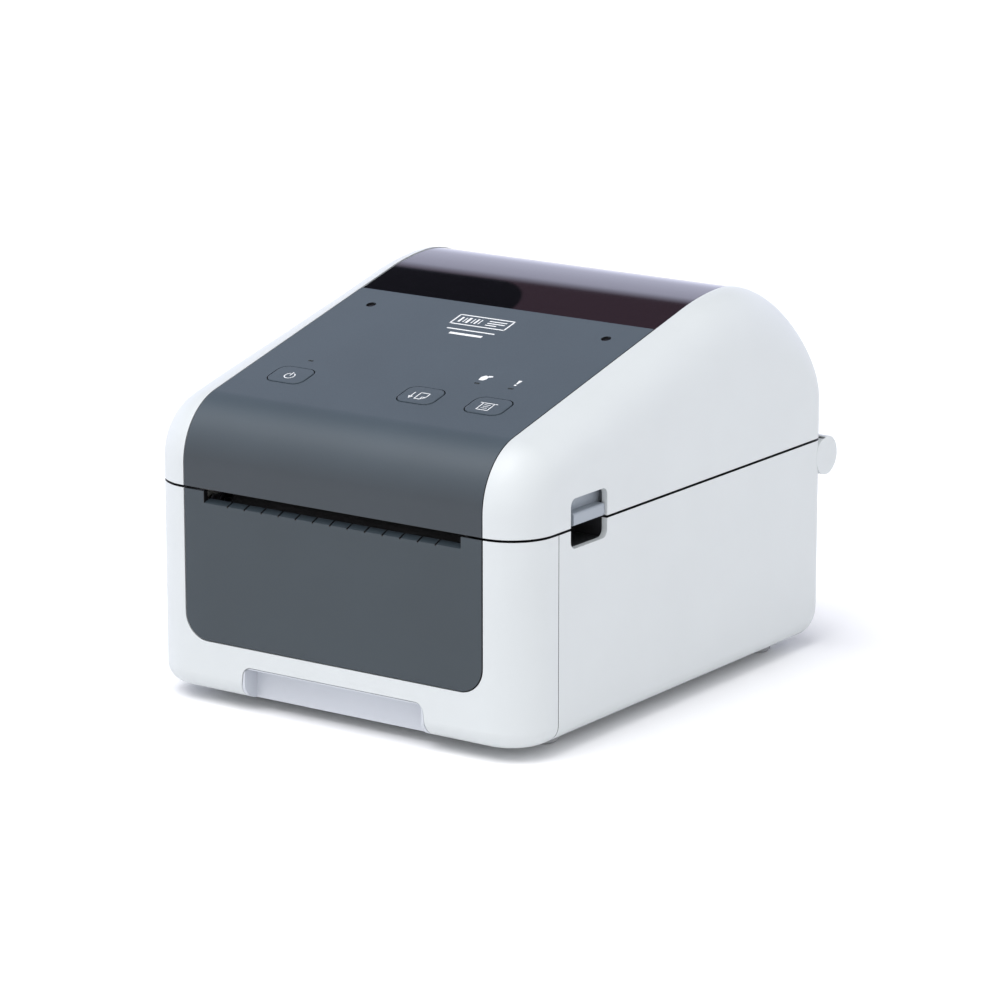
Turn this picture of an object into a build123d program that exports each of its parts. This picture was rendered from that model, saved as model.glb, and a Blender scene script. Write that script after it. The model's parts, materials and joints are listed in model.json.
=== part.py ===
from build123d import *
from math import asin, atan2, cos, degrees, hypot, pi, radians, sin
import os

# Desktop direct-thermal label maker, 4 inch class, in millimetres.
# X is to the right seen from the front, the front faces -Y and Z is up.
# The origin is the middle of the footprint on the table.

# ---------------------------------------------------------------- driving dimensions
HALF_WIDTH = 90.0          # side faces at x = +-90
FRONT_Y = -112.0           # flat front face
REAR_Y = 102.5             # rear wall; the hinge bump stands out behind it
HEIGHT = 155.0             # top of the crest above the table
BASE_Z = 5.0               # underside of the case, standing on the feet
SEAM_Z = 86.9              # middle of the line between case and cover
SEAM_GAP = 0.9
WALL = 2.5                 # moulded wall thickness
GAP = 0.2                  # gap between parts that are fixed together
PANEL_GAP = 0.4            # visible gap round the dark panels
FIT = 0.05                 # radial running clearance of pins and shafts

FRONT_CORNER = 18.5        # upright front corners and the roll-over along the roof
LOWER_EDGE = 7.5           # edges of the case below the seam
REAR_BOTTOM_ARC = 12.0     # rear lower corner, seen from the side
FRONT_ARC = 26.9           # side view: bend from the front face to the slope
FRONT_ARC_Z = 95.7
CREST_ARC = 124.0          # side view: gentle arc over the crest
REAR_ARC = 52.0            # side view: arc down to the rear wall
CREST_END = -3.0           # angle from upright where the two roof arcs meet

PANEL_HALF = 70.7          # dark panels and window, half width
PANEL_BOTTOM = 26.4
WINDOW_START = 99.2        # distance up the slope where the window begins
WINDOW_END_Y = 87.0
SPLIT_Y = -89.2            # parting line between front bezel and lower case

MOUTH_HALF = 61.0          # label exit
MOUTH_BOTTOM = 81.7
HINGE_Y = 103.7
HINGE_Z = 79.0
HINGE_BUMP_R = 8.0
HINGE_ARM_X = 62.0         # middle of each cover arm
HINGE_ARM_WIDTH = 10.0

ROLL_Y = 31.0              # label roll: 127 mm across, 118 mm wide at most
ROLL_Z = 77.5
ROLL_R = 63.5
TRAY_R = ROLL_R + 2.5
TRAY_WALL = 2.0
TRAY_HALF = 66.5
GUIDE_FACE_X = 59.0        # inner face of a roll guide at its widest

PLATEN_Y = -96.0
PLATEN_Z = 77.5
PLATEN_R = 6.9
HEAD_Z = 84.7              # underside of the print head, just above the platen

LATCH_Y = -40.0            # pivot rod of the cover latch
LATCH_Z = 92.0

LOWER_TOP = SEAM_Z - SEAM_GAP / 2
COVER_BOTTOM = SEAM_Z + SEAM_GAP / 2
PANEL_OPENING = PANEL_HALF + PANEL_GAP
FRONT_INNER = FRONT_Y + WALL
REAR_INNER = REAR_Y - WALL
FLOOR_Z = BASE_Z + WALL
EPS = 1.0                  # cutters run this far past the faces they cut

os.makedirs("parts", exist_ok=True)


def finish(builder, label):
    """Name a finished piece and write its STEP file."""
    builder.part.label = label
    export_step(builder.part, f"parts/{label}.step")


# ---------------------------------------------------------------- side view of the roof
def leaning(angle):
    """Unit vector (y, z) at an angle from upright, leaning to the rear."""
    return sin(radians(angle)), cos(radians(angle))


def on_arc(centre, radius, angle):
    """Point (y, z) of a side view arc, its angle measured from upright."""
    y, z = leaning(angle)
    return centre[0] + radius * y, centre[1] + radius * z


front_centre = (FRONT_Y + FRONT_ARC, FRONT_ARC_Z)
rear_centre = (REAR_Y - REAR_ARC, HEIGHT - REAR_ARC)
crest_centre = on_arc(rear_centre, REAR_ARC - CREST_ARC, CREST_END)
rise = crest_centre[1] - front_centre[1]
run = crest_centre[0] - front_centre[0]
# The slope is the common tangent of the front arc and the crest arc.
SLOPE = degrees(atan2(rise, run) - asin((FRONT_ARC - CREST_ARC) / hypot(run, rise)))
slope_start = on_arc(front_centre, FRONT_ARC, -SLOPE)
slope_end = on_arc(crest_centre, CREST_ARC, -SLOPE)
# Local X is across, local Y runs up the slope and local Z points out of it.
slope_plane = Plane(
    origin=(0, slope_start[0], slope_start[1]),
    x_dir=(1, 0, 0),
    z_dir=(0, -sin(radians(SLOPE)), cos(radians(SLOPE))),
)


def roof_outline(inset, floor):
    """Closed side view of the roof, set in from the outer face, as edges."""
    front = FRONT_Y + inset
    rear = REAR_Y - inset
    bend = FRONT_ARC - inset
    crest = CREST_ARC - inset
    back = REAR_ARC - inset
    with BuildLine() as outline:
        Line((front, floor), (front, FRONT_ARC_Z))
        ThreePointArc(
            (front, FRONT_ARC_Z),
            on_arc(front_centre, bend, -45 - SLOPE / 2),
            on_arc(front_centre, bend, -SLOPE),
        )
        Line(on_arc(front_centre, bend, -SLOPE), on_arc(crest_centre, crest, -SLOPE))
        ThreePointArc(
            on_arc(crest_centre, crest, -SLOPE),
            on_arc(crest_centre, crest, (CREST_END - SLOPE) / 2),
            on_arc(crest_centre, crest, CREST_END),
        )
        ThreePointArc(
            on_arc(rear_centre, back, CREST_END),
            on_arc(rear_centre, back, 45 + CREST_END / 2),
            on_arc(rear_centre, back, 90),
        )
        Line((rear, rear_centre[1]), (rear, floor))
        Line((rear, floor), (front, floor))
    return outline.edges()


def roof_side_edges(part, half):
    """The edges that run round the roof at the two side faces."""
    sides = part.faces().filter_by(Axis.X)
    edges = sides.sort_by(Axis.X)[0].edges() + sides.sort_by(Axis.X)[-1].edges()
    lowest = part.bounding_box().min.Z
    return [edge for edge in edges if edge.center().Z > lowest + 0.1 and abs(edge.center().X) > half - 0.1]


# ---------------------------------------------------------------- gear outlines
def tooth_outline(teeth, module, phase):
    """Spur gear outline with straight-flanked teeth that leave backlash."""
    pitch_r = teeth * module / 2
    step = 360 / teeth
    profile = [
        (pitch_r - 1.2 * module, -0.36),
        (pitch_r + 0.8 * module, -0.13),
        (pitch_r + 0.8 * module, 0.13),
        (pitch_r - 1.2 * module, 0.36),
    ]
    points = []
    for tooth in range(teeth):
        for radius, share in profile:
            angle = radians(phase + (tooth + share) * step)
            points.append((radius * cos(angle), radius * sin(angle)))
    with BuildLine() as outline:
        Polyline(*points, close=True)
    return outline.edges()


# ================================================================ lower half of the case
with BuildPart() as lower_inner:
    with BuildSketch(Plane.XY.offset(FLOOR_Z)):
        with Locations((0, (SPLIT_Y + REAR_INNER) / 2)):
            Rectangle(2 * (HALF_WIDTH - WALL), REAR_INNER - SPLIT_Y + 0.01)
    extrude(amount=LOWER_TOP - FLOOR_Z + EPS)
    rear_edges = lower_inner.edges().filter_by(Axis.Z).group_by(Axis.Y)[-1]
    fillet(rear_edges, LOWER_EDGE - WALL)

BUMP_SLOT = HINGE_ARM_WIDTH + 1.0
PIN_R = 2.5
PIN_LENGTH = 24.0
IO_HALF = 76.0             # opening for the socket plate
IO_BOTTOM = 10.0
IO_TOP = 34.0
SLOT_BOTTOM = 60.0         # slot for fan-fold labels, in the rear wall
SLOT_TOP = 66.0
LATCH_FRONT = -81.5        # finger notch of the cover latch
LATCH_REAR = -57.0
NOTCH_BOTTOM = 79.0
NOTCH_TOP = 98.5
NOTCH_CORNER = 3.0
NOTCH_MID = (LATCH_FRONT + LATCH_REAR) / 2
STRIKER_Y = -34.6
STRIKER_Z = 71.5
STRIKER_R = 2.0
FOOT_X = 72.0
FOOT_FRONT_Y = -75.0
FOOT_REAR_Y = 78.0
FOOT_R = 7.0
FOOT_SPOTS = [(x, y) for x in (-FOOT_X, FOOT_X) for y in (FOOT_FRONT_Y, FOOT_REAR_Y)]
SCREW_SPOTS = [(x, y) for x in (-56.5, 56.5) for y in (-70.0, 84.0)]
SCREW_HOLE_R = 1.6
SCREW_HEAD_R = 2.9
BOSS_R = 4.0
BOSS_TOP = 9.0

with BuildPart() as lower_case:
    with BuildSketch(Plane.YZ):
        with Locations(((SPLIT_Y + REAR_Y) / 2, (BASE_Z + LOWER_TOP) / 2)):
            Rectangle(REAR_Y - SPLIT_Y, LOWER_TOP - BASE_Z)
        low_rear = vertices().group_by(Axis.X)[-1].sort_by(Axis.Y)[0]
        fillet(low_rear, REAR_BOTTOM_ARC)
    extrude(amount=HALF_WIDTH, both=True)
    side_faces = faces().filter_by(Axis.X)
    round_edges = [
        edge
        for face in (side_faces.sort_by(Axis.X)[0], side_faces.sort_by(Axis.X)[-1])
        for edge in face.edges()
        if edge.center().Z < LOWER_TOP - 0.1 and edge.center().Y > SPLIT_Y + 0.1
    ]
    fillet(round_edges, LOWER_EDGE)
    # The hinge bump runs the whole width, flush with the sides.
    with BuildSketch(Plane.YZ):
        with Locations((HINGE_Y, HINGE_Z)):
            Circle(HINGE_BUMP_R)
    extrude(amount=HALF_WIDTH, both=True)
    add(lower_inner.part, mode=Mode.SUBTRACT)
    # The bump is cut away where it would stand above the seam inside the case.
    with BuildSketch(Plane.XY.offset(HINGE_Z - HINGE_BUMP_R - EPS)):
        with Locations((0, REAR_INNER - 5)):
            Rectangle(2 * (HALF_WIDTH - LOWER_EDGE), 10)
    extrude(amount=2 * HINGE_BUMP_R + 2 * EPS, mode=Mode.SUBTRACT)
    with BuildSketch(Plane.XY.offset(LOWER_TOP)):
        with Locations((0, REAR_Y - 10)):
            Rectangle(2 * HALF_WIDTH + EPS, 20)
    extrude(amount=5, mode=Mode.SUBTRACT)
    # Slots for the two arms of the cover, and the bores of their pins.
    for side in (-1, 1):
        with BuildSketch(Plane.YZ.offset(side * HINGE_ARM_X)):
            with Locations((HINGE_Y, HINGE_Z)):
                Circle(HINGE_BUMP_R + EPS)
            with Locations((REAR_Y - 4, HINGE_Z + 2)):
                Rectangle(12, 20)
        extrude(amount=BUMP_SLOT / 2, both=True, mode=Mode.SUBTRACT)
        with BuildSketch(Plane.YZ.offset(side * HINGE_ARM_X)):
            with Locations((HINGE_Y, HINGE_Z)):
                Circle(PIN_R + 0.01)
        extrude(amount=PIN_LENGTH / 2, both=True, mode=Mode.SUBTRACT)
    # Socket opening and fan-fold slot in the rear wall.
    with BuildSketch(Plane.XZ.offset(-REAR_Y - EPS)):
        with Locations((0, (IO_BOTTOM + IO_TOP) / 2)):
            RectangleRounded(2 * IO_HALF, IO_TOP - IO_BOTTOM, 2)
        with Locations((0, (SLOT_BOTTOM + SLOT_TOP) / 2)):
            RectangleRounded(2 * MOUTH_HALF, SLOT_TOP - SLOT_BOTTOM, 2)
    extrude(amount=WALL + 2 * EPS, mode=Mode.SUBTRACT)
    # Lower half of each latch notch.
    with BuildSketch(Plane.YZ):
        with Locations((NOTCH_MID, NOTCH_BOTTOM + 10)):
            RectangleRounded(LATCH_REAR - LATCH_FRONT, 20, NOTCH_CORNER)
    extrude(amount=HALF_WIDTH + EPS, both=True, mode=Mode.SUBTRACT)
    # Bosses that hold the striker pins.
    for side in (-1, 1):
        with BuildSketch(Plane.YZ.offset(side * (HALF_WIDTH - WALL))):
            with Locations((STRIKER_Y, STRIKER_Z)):
                Circle(5)
        extrude(amount=-side * 3.5)
        with BuildSketch(Plane.YZ.offset(side * (HALF_WIDTH - WALL - 3.5))):
            with Locations((STRIKER_Y, STRIKER_Z)):
                Circle(STRIKER_R + 0.01)
        extrude(amount=side * 4, mode=Mode.SUBTRACT)
    # Screw bosses on the floor and the holes through it.
    with BuildSketch(Plane.XY.offset(FLOOR_Z)):
        with Locations(*SCREW_SPOTS):
            Circle(BOSS_R)
    extrude(amount=BOSS_TOP - FLOOR_Z)
    with BuildSketch(Plane.XY.offset(BASE_Z - EPS)):
        with Locations(*SCREW_SPOTS):
            Circle(SCREW_HOLE_R)
    extrude(amount=10, mode=Mode.SUBTRACT)
    with BuildSketch(Plane.XY.offset(BASE_Z - EPS)):
        with Locations(*SCREW_SPOTS):
            Circle(SCREW_HEAD_R + 0.3)
        with Locations(*FOOT_SPOTS):
            Circle(FOOT_R + 0.05)
    extrude(amount=EPS + 1.5, mode=Mode.SUBTRACT)
    # Cooling slots through the floor.
    with BuildSketch(Plane.XY.offset(BASE_Z - EPS)):
        with GridLocations(8, 1, 9, 1):
            SlotOverall(40, 3, rotation=90)
    extrude(amount=WALL + 2 * EPS, mode=Mode.SUBTRACT)
finish(lower_case, "lower_case")

with BuildPart() as rubber_feet:
    with BuildSketch(Plane.XY):
        with Locations(*FOOT_SPOTS):
            Circle(FOOT_R)
    extrude(amount=BASE_Z + 1.5)
    chamfer(edges().group_by(Axis.Z)[0], 0.8)
finish(rubber_feet, "rubber_feet")

with BuildPart() as base_screws:
    with BuildSketch(Plane.XY.offset(BASE_Z - 1.0)):
        with Locations(*SCREW_SPOTS):
            Circle(SCREW_HEAD_R)
    extrude(amount=2.5)
    with BuildSketch(Plane.XY.offset(BASE_Z + 1.5)):
        with Locations(*SCREW_SPOTS):
            Circle(SCREW_HOLE_R - 0.1)
    extrude(amount=8)
    with BuildSketch(Plane.XY.offset(BASE_Z - 1.0)):
        with Locations(*SCREW_SPOTS):
            Rectangle(3.4, 0.8)
            Rectangle(0.8, 3.4)
    extrude(amount=1.2, mode=Mode.SUBTRACT)
finish(base_screws, "base_screws")

# ---------------------------------------------------------------- front bezel and panel
SCOOP_HALF_TOP = 43.0
SCOOP_HALF_BOTTOM = 44.5
SCOOP_TOP = 18.5
SCOOP_DEPTH = 7.0
SCOOP_WALL = 2.6
SCOOP_LIP = 0.3            # the insert stands this far behind the front face
SCOOP_POCKET_HALF = 42.4
SCOOP_POCKET_TOP = 17.9
SCOOP_TAPER = 6            # degrees that its walls lean in
PANEL_CORNER = 10.3

with BuildPart() as bezel_inner:
    with BuildSketch(Plane.XY.offset(FLOOR_Z)):
        with Locations((0, (FRONT_INNER + SPLIT_Y) / 2)):
            Rectangle(2 * (HALF_WIDTH - WALL), SPLIT_Y - FRONT_INNER + 0.02)
    extrude(amount=LOWER_TOP - FLOOR_Z + EPS)
    fillet(edges().filter_by(Axis.Z).group_by(Axis.Y)[0], FRONT_CORNER - WALL)


def scoop_outline(inset):
    """Front view of the finger scoop, open at the bottom, set in from its edge."""
    with BuildLine() as outline:
        FilletPolyline(
            (-SCOOP_HALF_BOTTOM + inset, BASE_Z - EPS),
            (-SCOOP_HALF_TOP + inset, SCOOP_TOP - inset),
            (SCOOP_HALF_TOP - inset, SCOOP_TOP - inset),
            (SCOOP_HALF_BOTTOM - inset, BASE_Z - EPS),
            radius=4.0 - inset,
        )
        Line((SCOOP_HALF_BOTTOM - inset, BASE_Z - EPS), (-SCOOP_HALF_BOTTOM + inset, BASE_Z - EPS))
    return outline.edges()


with BuildPart() as bezel_outer:
    with BuildSketch(Plane.XY.offset(BASE_Z)):
        with Locations((0, (FRONT_Y + SPLIT_Y - GAP) / 2)):
            Rectangle(2 * HALF_WIDTH, SPLIT_Y - GAP - FRONT_Y)
    extrude(amount=LOWER_TOP - BASE_Z)
    fillet(edges().filter_by(Axis.Z).group_by(Axis.Y)[0], FRONT_CORNER)
    bottom_edges = [
        edge
        for edge in faces().sort_by(Axis.Z)[0].edges()
        if edge.center().Y < SPLIT_Y - GAP - 0.1
    ]
    fillet(bottom_edges, LOWER_EDGE)

with BuildPart() as front_bezel:
    add(bezel_outer.part)
    add(bezel_inner.part, mode=Mode.SUBTRACT)
    # Opening for the dark front panel.
    with BuildSketch(Plane.XZ.offset(-FRONT_Y + EPS)):
        with Locations((0, (PANEL_BOTTOM + LOWER_TOP) / 2 + 10)):
            RectangleRounded(
                2 * PANEL_OPENING,
                LOWER_TOP - PANEL_BOTTOM + 20 + 2 * PANEL_GAP,
                PANEL_CORNER + PANEL_GAP,
            )
    extrude(amount=-WALL - 2 * EPS, mode=Mode.SUBTRACT)
    # Opening for the finger scoop.
    with BuildSketch(Plane.XZ.offset(-FRONT_Y + EPS)):
        make_face(scoop_outline(0))
    extrude(amount=-SCOOP_DEPTH - SCOOP_WALL - GAP - EPS, mode=Mode.SUBTRACT)
finish(front_bezel, "front_bezel")

with BuildPart() as finger_scoop:
    with BuildSketch(Plane.XZ.offset(-FRONT_Y - SCOOP_LIP)):
        make_face(scoop_outline(GAP))
    extrude(amount=-SCOOP_DEPTH - SCOOP_WALL + SCOOP_LIP)
    add(bezel_outer.part, mode=Mode.INTERSECT)
    with BuildSketch(Plane.XZ.offset(-FRONT_Y + EPS)):
        with Locations((0, 0)):
            Rectangle(2 * SCOOP_POCKET_HALF, 2 * SCOOP_POCKET_TOP)
    extrude(amount=-SCOOP_DEPTH - EPS, taper=SCOOP_TAPER, mode=Mode.SUBTRACT)
finish(finger_scoop, "finger_scoop")

GROOVE_PITCH = 8.25
GROOVE_COUNT = 13
GROOVE_WIDTH = 0.5
GROOVE_DEPTH = 0.5
LIP_REAR_Y = -108.6
LIP_REAR_Z = 83.0

with BuildPart() as front_panel:
    with BuildSketch(Plane.XZ.offset(-FRONT_Y)):
        with Locations((0, (PANEL_BOTTOM + LOWER_TOP) / 2 + 10)):
            RectangleRounded(2 * PANEL_HALF, LOWER_TOP - PANEL_BOTTOM + 20, PANEL_CORNER)
        with Locations((0, LOWER_TOP + 15)):
            Rectangle(2 * HALF_WIDTH, 30, mode=Mode.SUBTRACT)
    extrude(amount=-WALL)
    with BuildSketch(Plane.XZ.offset(-FRONT_Y + EPS)):
        with Locations((0, MOUTH_BOTTOM + 10)):
            Rectangle(2 * MOUTH_HALF, 20)
    extrude(amount=-WALL - 2 * EPS, mode=Mode.SUBTRACT)
    # Lower lip of the mouth: a short ramp that rises inwards, with fine grooves across it.
    with BuildSketch(Plane.YZ):
        with BuildLine():
            Polyline(
                (FRONT_Y, MOUTH_BOTTOM - 2.5),
                (FRONT_Y, MOUTH_BOTTOM),
                (LIP_REAR_Y, LIP_REAR_Z),
                (LIP_REAR_Y, LIP_REAR_Z - 3.0),
                (FRONT_Y + WALL, MOUTH_BOTTOM - 2.5),
                close=True,
            )
        make_face()
    extrude(amount=MOUTH_HALF, both=True)
    lip_rise = degrees(atan2(LIP_REAR_Z - MOUTH_BOTTOM, LIP_REAR_Y - FRONT_Y))
    lip_plane = Plane(
        origin=(0, FRONT_Y, MOUTH_BOTTOM),
        x_dir=(1, 0, 0),
        z_dir=(0, -sin(radians(lip_rise)), cos(radians(lip_rise))),
    )
    with BuildSketch(lip_plane.offset(-GROOVE_DEPTH)):
        with Locations((0, (LIP_REAR_Y - FRONT_Y) / 2)):
            with GridLocations(GROOVE_PITCH, 1, GROOVE_COUNT, 1):
                Rectangle(GROOVE_WIDTH, 2 * (LIP_REAR_Y - FRONT_Y))
    extrude(amount=GROOVE_DEPTH + EPS, mode=Mode.SUBTRACT)
finish(front_panel, "front_panel")

# ================================================================ roll compartment
TRAY_TOP = 84.0
TRAY_OUTER = TRAY_R + TRAY_WALL
RACK_OFFSET = 8.0          # guide feet stand this far to each side of the pinion
PINION_Y = -11.0
PINION_MODULE = 1.0
PINION_TEETH = 12
RACK_Z = 12.5
RACK_HEIGHT = 4.0
FOOT_THICK = 4.0


def tray_section(radius):
    """Side view of the tray: half a circle below, upright walls above."""
    with BuildLine() as outline:
        Line((ROLL_Y - radius, TRAY_TOP), (ROLL_Y - radius, ROLL_Z))
        ThreePointArc((ROLL_Y - radius, ROLL_Z), (ROLL_Y, ROLL_Z - radius), (ROLL_Y + radius, ROLL_Z))
        Line((ROLL_Y + radius, ROLL_Z), (ROLL_Y + radius, TRAY_TOP))
        Line((ROLL_Y + radius, TRAY_TOP), (ROLL_Y - radius, TRAY_TOP))
    return outline.edges()


with BuildPart() as media_tray:
    with BuildSketch(Plane.YZ):
        make_face(tray_section(TRAY_OUTER))
    extrude(amount=TRAY_HALF + TRAY_WALL, both=True)
    with BuildSketch(Plane.YZ):
        make_face(tray_section(TRAY_R))
    extrude(amount=TRAY_HALF, both=True, mode=Mode.SUBTRACT)
    # Slots that the feet of the roll guides slide in.
    for side in (-1, 1):
        with BuildSketch(Plane.XY.offset(BASE_Z)):
            with Locations((0, PINION_Y + side * RACK_OFFSET)):
                Rectangle(2 * TRAY_HALF, FOOT_THICK + 1.0)
        extrude(amount=50, mode=Mode.SUBTRACT)
    # Fan-fold labels come in through the rear wall.
    with BuildSketch(Plane.XZ.offset(-ROLL_Y - TRAY_R + 12)):
        with Locations((0, (SLOT_BOTTOM + SLOT_TOP) / 2)):
            Rectangle(2 * MOUTH_HALF, SLOT_TOP - SLOT_BOTTOM)
    extrude(amount=-20, mode=Mode.SUBTRACT)
    # Room for the hinge arms of the cover.
    with BuildSketch(Plane.XY.offset(HINGE_Z - 12)):
        for side in (-1, 1):
            with Locations((side * (HINGE_ARM_X + 2), ROLL_Y + TRAY_OUTER)):
                Rectangle(BUMP_SLOT + 6, 8)
    extrude(amount=20, mode=Mode.SUBTRACT)
finish(media_tray, "media_tray")

GUIDE_THICK = 4.0
GUIDE_TOP = 122.0
HUB_R = 12.0
HUB_LENGTH = 8.0


def roll_guide(side):
    """One roll guide: a rounded plate, its core hub, its foot and its rack."""
    foot_y = PINION_Y + side * RACK_OFFSET
    face_x = side * GUIDE_FACE_X
    mid_x = side * (GUIDE_FACE_X + GUIDE_THICK / 2)
    with BuildPart() as guide:
        with BuildSketch(Plane.YZ.offset(mid_x)):
            with Locations((ROLL_Y, ROLL_Z)):
                Circle(TRAY_R - 1.5)
            with Locations((ROLL_Y, GUIDE_TOP + 50)):
                Rectangle(200, 100, mode=Mode.SUBTRACT)
            with Locations((ROLL_Y, ROLL_Z)):
                with PolarLocations(36, 6, start_angle=30):
                    Circle(9, mode=Mode.SUBTRACT)
        extrude(amount=GUIDE_THICK / 2, both=True)
        with BuildSketch(Plane.YZ.offset(face_x)):
            with Locations((ROLL_Y, ROLL_Z)):
                Circle(HUB_R)
        extrude(amount=-side * HUB_LENGTH, taper=8)
        # The foot passes through the tray slot down to the rack.
        with BuildSketch(Plane.XY.offset(RACK_Z)):
            with Locations((mid_x, foot_y)):
                Rectangle(GUIDE_THICK, FOOT_THICK)
        extrude(amount=38)
        # The rack lies along X with its teeth towards the pinion.
        pitch_y = PINION_Y + side * (PINION_TEETH * PINION_MODULE / 2 + 0.05)
        tooth_pitch = pi * PINION_MODULE
        rack_end = -side * 6.0
        with BuildSketch(Plane.XY.offset(RACK_Z)):
            back_near = pitch_y + side * 1.3 * PINION_MODULE
            back_far = foot_y + side * FOOT_THICK / 2
            with Locations(((mid_x + rack_end) / 2, (back_near + back_far) / 2)):
                Rectangle(abs(mid_x - rack_end) + GUIDE_THICK, abs(back_far - back_near))
            for tooth in range(20):
                tooth_x = side * (tooth - 2) * tooth_pitch
                with BuildLine():
                    Polyline(
                        (tooth_x - 0.36 * tooth_pitch, pitch_y + side * 1.35),
                        (tooth_x - 0.13 * tooth_pitch, pitch_y - side * 0.8),
                        (tooth_x + 0.13 * tooth_pitch, pitch_y - side * 0.8),
                        (tooth_x + 0.36 * tooth_pitch, pitch_y + side * 1.35),
                        close=True,
                    )
                make_face()
        extrude(amount=RACK_HEIGHT)
    return guide


finish(roll_guide(-1), "left_roll_guide")
finish(roll_guide(1), "right_roll_guide")

PINION_BORE = 2.0
with BuildPart() as guide_pinion:
    with BuildSketch(Plane.XY.offset(RACK_Z)):
        # The half-tooth turn puts a gap in front of each rack tooth at x = 0.
        make_face(tooth_outline(PINION_TEETH, PINION_MODULE, 360 / PINION_TEETH / 2))
        Circle(PINION_BORE + FIT, mode=Mode.SUBTRACT)
    extrude(amount=RACK_HEIGHT)
guide_pinion_local = guide_pinion.part
with BuildPart() as guide_pinion:
    with Locations((0, PINION_Y, 0)):
        add(guide_pinion_local)
finish(guide_pinion, "guide_pinion")

with BuildPart() as pinion_post:
    with BuildSketch(Plane.XY.offset(FLOOR_Z)):
        with Locations((0, PINION_Y)):
            Circle(4)
    extrude(amount=RACK_Z - FLOOR_Z - 0.3)
    with BuildSketch(Plane.XY.offset(FLOOR_Z)):
        with Locations((0, PINION_Y)):
            Circle(PINION_BORE)
    extrude(amount=RACK_Z + RACK_HEIGHT + 0.5 - FLOOR_Z)
finish(pinion_post, "pinion_post")

# ================================================================ print mechanism
PLATE_X = 63.0             # inner face of each chassis side plate
PLATE_THICK = 1.5
PLATE_REAR = -44.0
PLATE_FRONT = -106.0
FLOOR_PLATE_FRONT = -98.0   # clear of the finger scoop
PLATE_TOP = 83.0
PLATE_BOTTOM = 9.0
SHAFT_R = 3.0
BUSH_R = 5.5
GEAR_MODULE = 0.8
PLATEN_TEETH = 24
IDLER_TEETH = 40
MOTOR_TEETH = 14
GEAR_X = -67.0             # inner face of the gear train, which lies outside the left plate
GEAR_WIDTH = 4.0
GEAR_PLAY = 0.15           # extra centre distance
IDLER_Y = -80.0
idler_reach = (PLATEN_TEETH + IDLER_TEETH) * GEAR_MODULE / 2 + GEAR_PLAY
IDLER_Z = PLATEN_Z - (idler_reach**2 - (IDLER_Y - PLATEN_Y) ** 2) ** 0.5
MOTOR_Y = -70.0
motor_reach = (IDLER_TEETH + MOTOR_TEETH) * GEAR_MODULE / 2 + GEAR_PLAY
MOTOR_Z = IDLER_Z - (motor_reach**2 - (MOTOR_Y - IDLER_Y) ** 2) ** 0.5
IDLER_STUD_R = 2.0
MOTOR_R = 17.5
MOTOR_LENGTH = 22.0
MOTOR_SHAFT_R = 1.5
MOTOR_PILOT_R = 5.0
MOTOR_SCREW_REACH = 21.0
MOTOR_SCREW_R = 1.5
motor_screw_spots = [(MOTOR_Y + side * MOTOR_SCREW_REACH, MOTOR_Z) for side in (-1, 1)]

with BuildPart() as chassis_frame:
    for side in (-1, 1):
        with BuildSketch(Plane.YZ.offset(side * PLATE_X)):
            with BuildLine():
                Polyline(
                    (PLATE_FRONT, PLATE_BOTTOM),
                    (PLATE_FRONT, PLATE_TOP - 4),
                    (PLATE_FRONT + 4, PLATE_TOP),
                    (PLATE_REAR - 12, PLATE_TOP),
                    (PLATE_REAR, PLATE_TOP - 14),
                    (PLATE_REAR, PLATE_BOTTOM),
                    close=True,
                )
            make_face()
            with Locations((PLATEN_Y, PLATEN_Z)):
                Circle(BUSH_R + 0.01, mode=Mode.SUBTRACT)
            with Locations((PLATE_REAR - 12, 34)):
                RectangleRounded(12, 22, 3, mode=Mode.SUBTRACT)
            if side < 0:
                with Locations((MOTOR_Y, MOTOR_Z)):
                    Circle(MOTOR_PILOT_R + 0.1, mode=Mode.SUBTRACT)
                with Locations(*motor_screw_spots):
                    Circle(MOTOR_SCREW_R + 0.01, mode=Mode.SUBTRACT)
        extrude(amount=side * PLATE_THICK)
    # Floor plate and front cross bar tie the two sides together.
    with BuildSketch(Plane.XY.offset(PLATE_BOTTOM)):
        with Locations((0, (FLOOR_PLATE_FRONT + PLATE_REAR) / 2)):
            Rectangle(2 * PLATE_X, PLATE_REAR - FLOOR_PLATE_FRONT)
            with GridLocations(36, 26, 3, 2):
                SlotOverall(26, 12, mode=Mode.SUBTRACT)
        with Locations(*[spot for spot in SCREW_SPOTS if spot[1] < 0]):
            Circle(SCREW_HOLE_R + 0.6, mode=Mode.SUBTRACT)
    extrude(amount=PLATE_THICK)
    with BuildSketch(Plane.XZ.offset(-PLATE_FRONT)):
        with Locations((0, 62)):
            Rectangle(2 * PLATE_X, 16)
    extrude(amount=-PLATE_THICK)
    # Stud of the idler gear.
    with BuildSketch(Plane.YZ.offset(-PLATE_X - PLATE_THICK)):
        with Locations((IDLER_Y, IDLER_Z)):
            Circle(IDLER_STUD_R)
    extrude(amount=-(GEAR_WIDTH + 3.0))
finish(chassis_frame, "chassis_frame")

with BuildPart() as platen_bushings:
    for side in (-1, 1):
        with BuildSketch(Plane.YZ.offset(side * (PLATE_X - 1.0))):
            with Locations((PLATEN_Y, PLATEN_Z)):
                Circle(BUSH_R)
                Circle(SHAFT_R + FIT, mode=Mode.SUBTRACT)
        extrude(amount=side * (PLATE_THICK + 2.0))
finish(platen_bushings, "platen_bushings")

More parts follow.
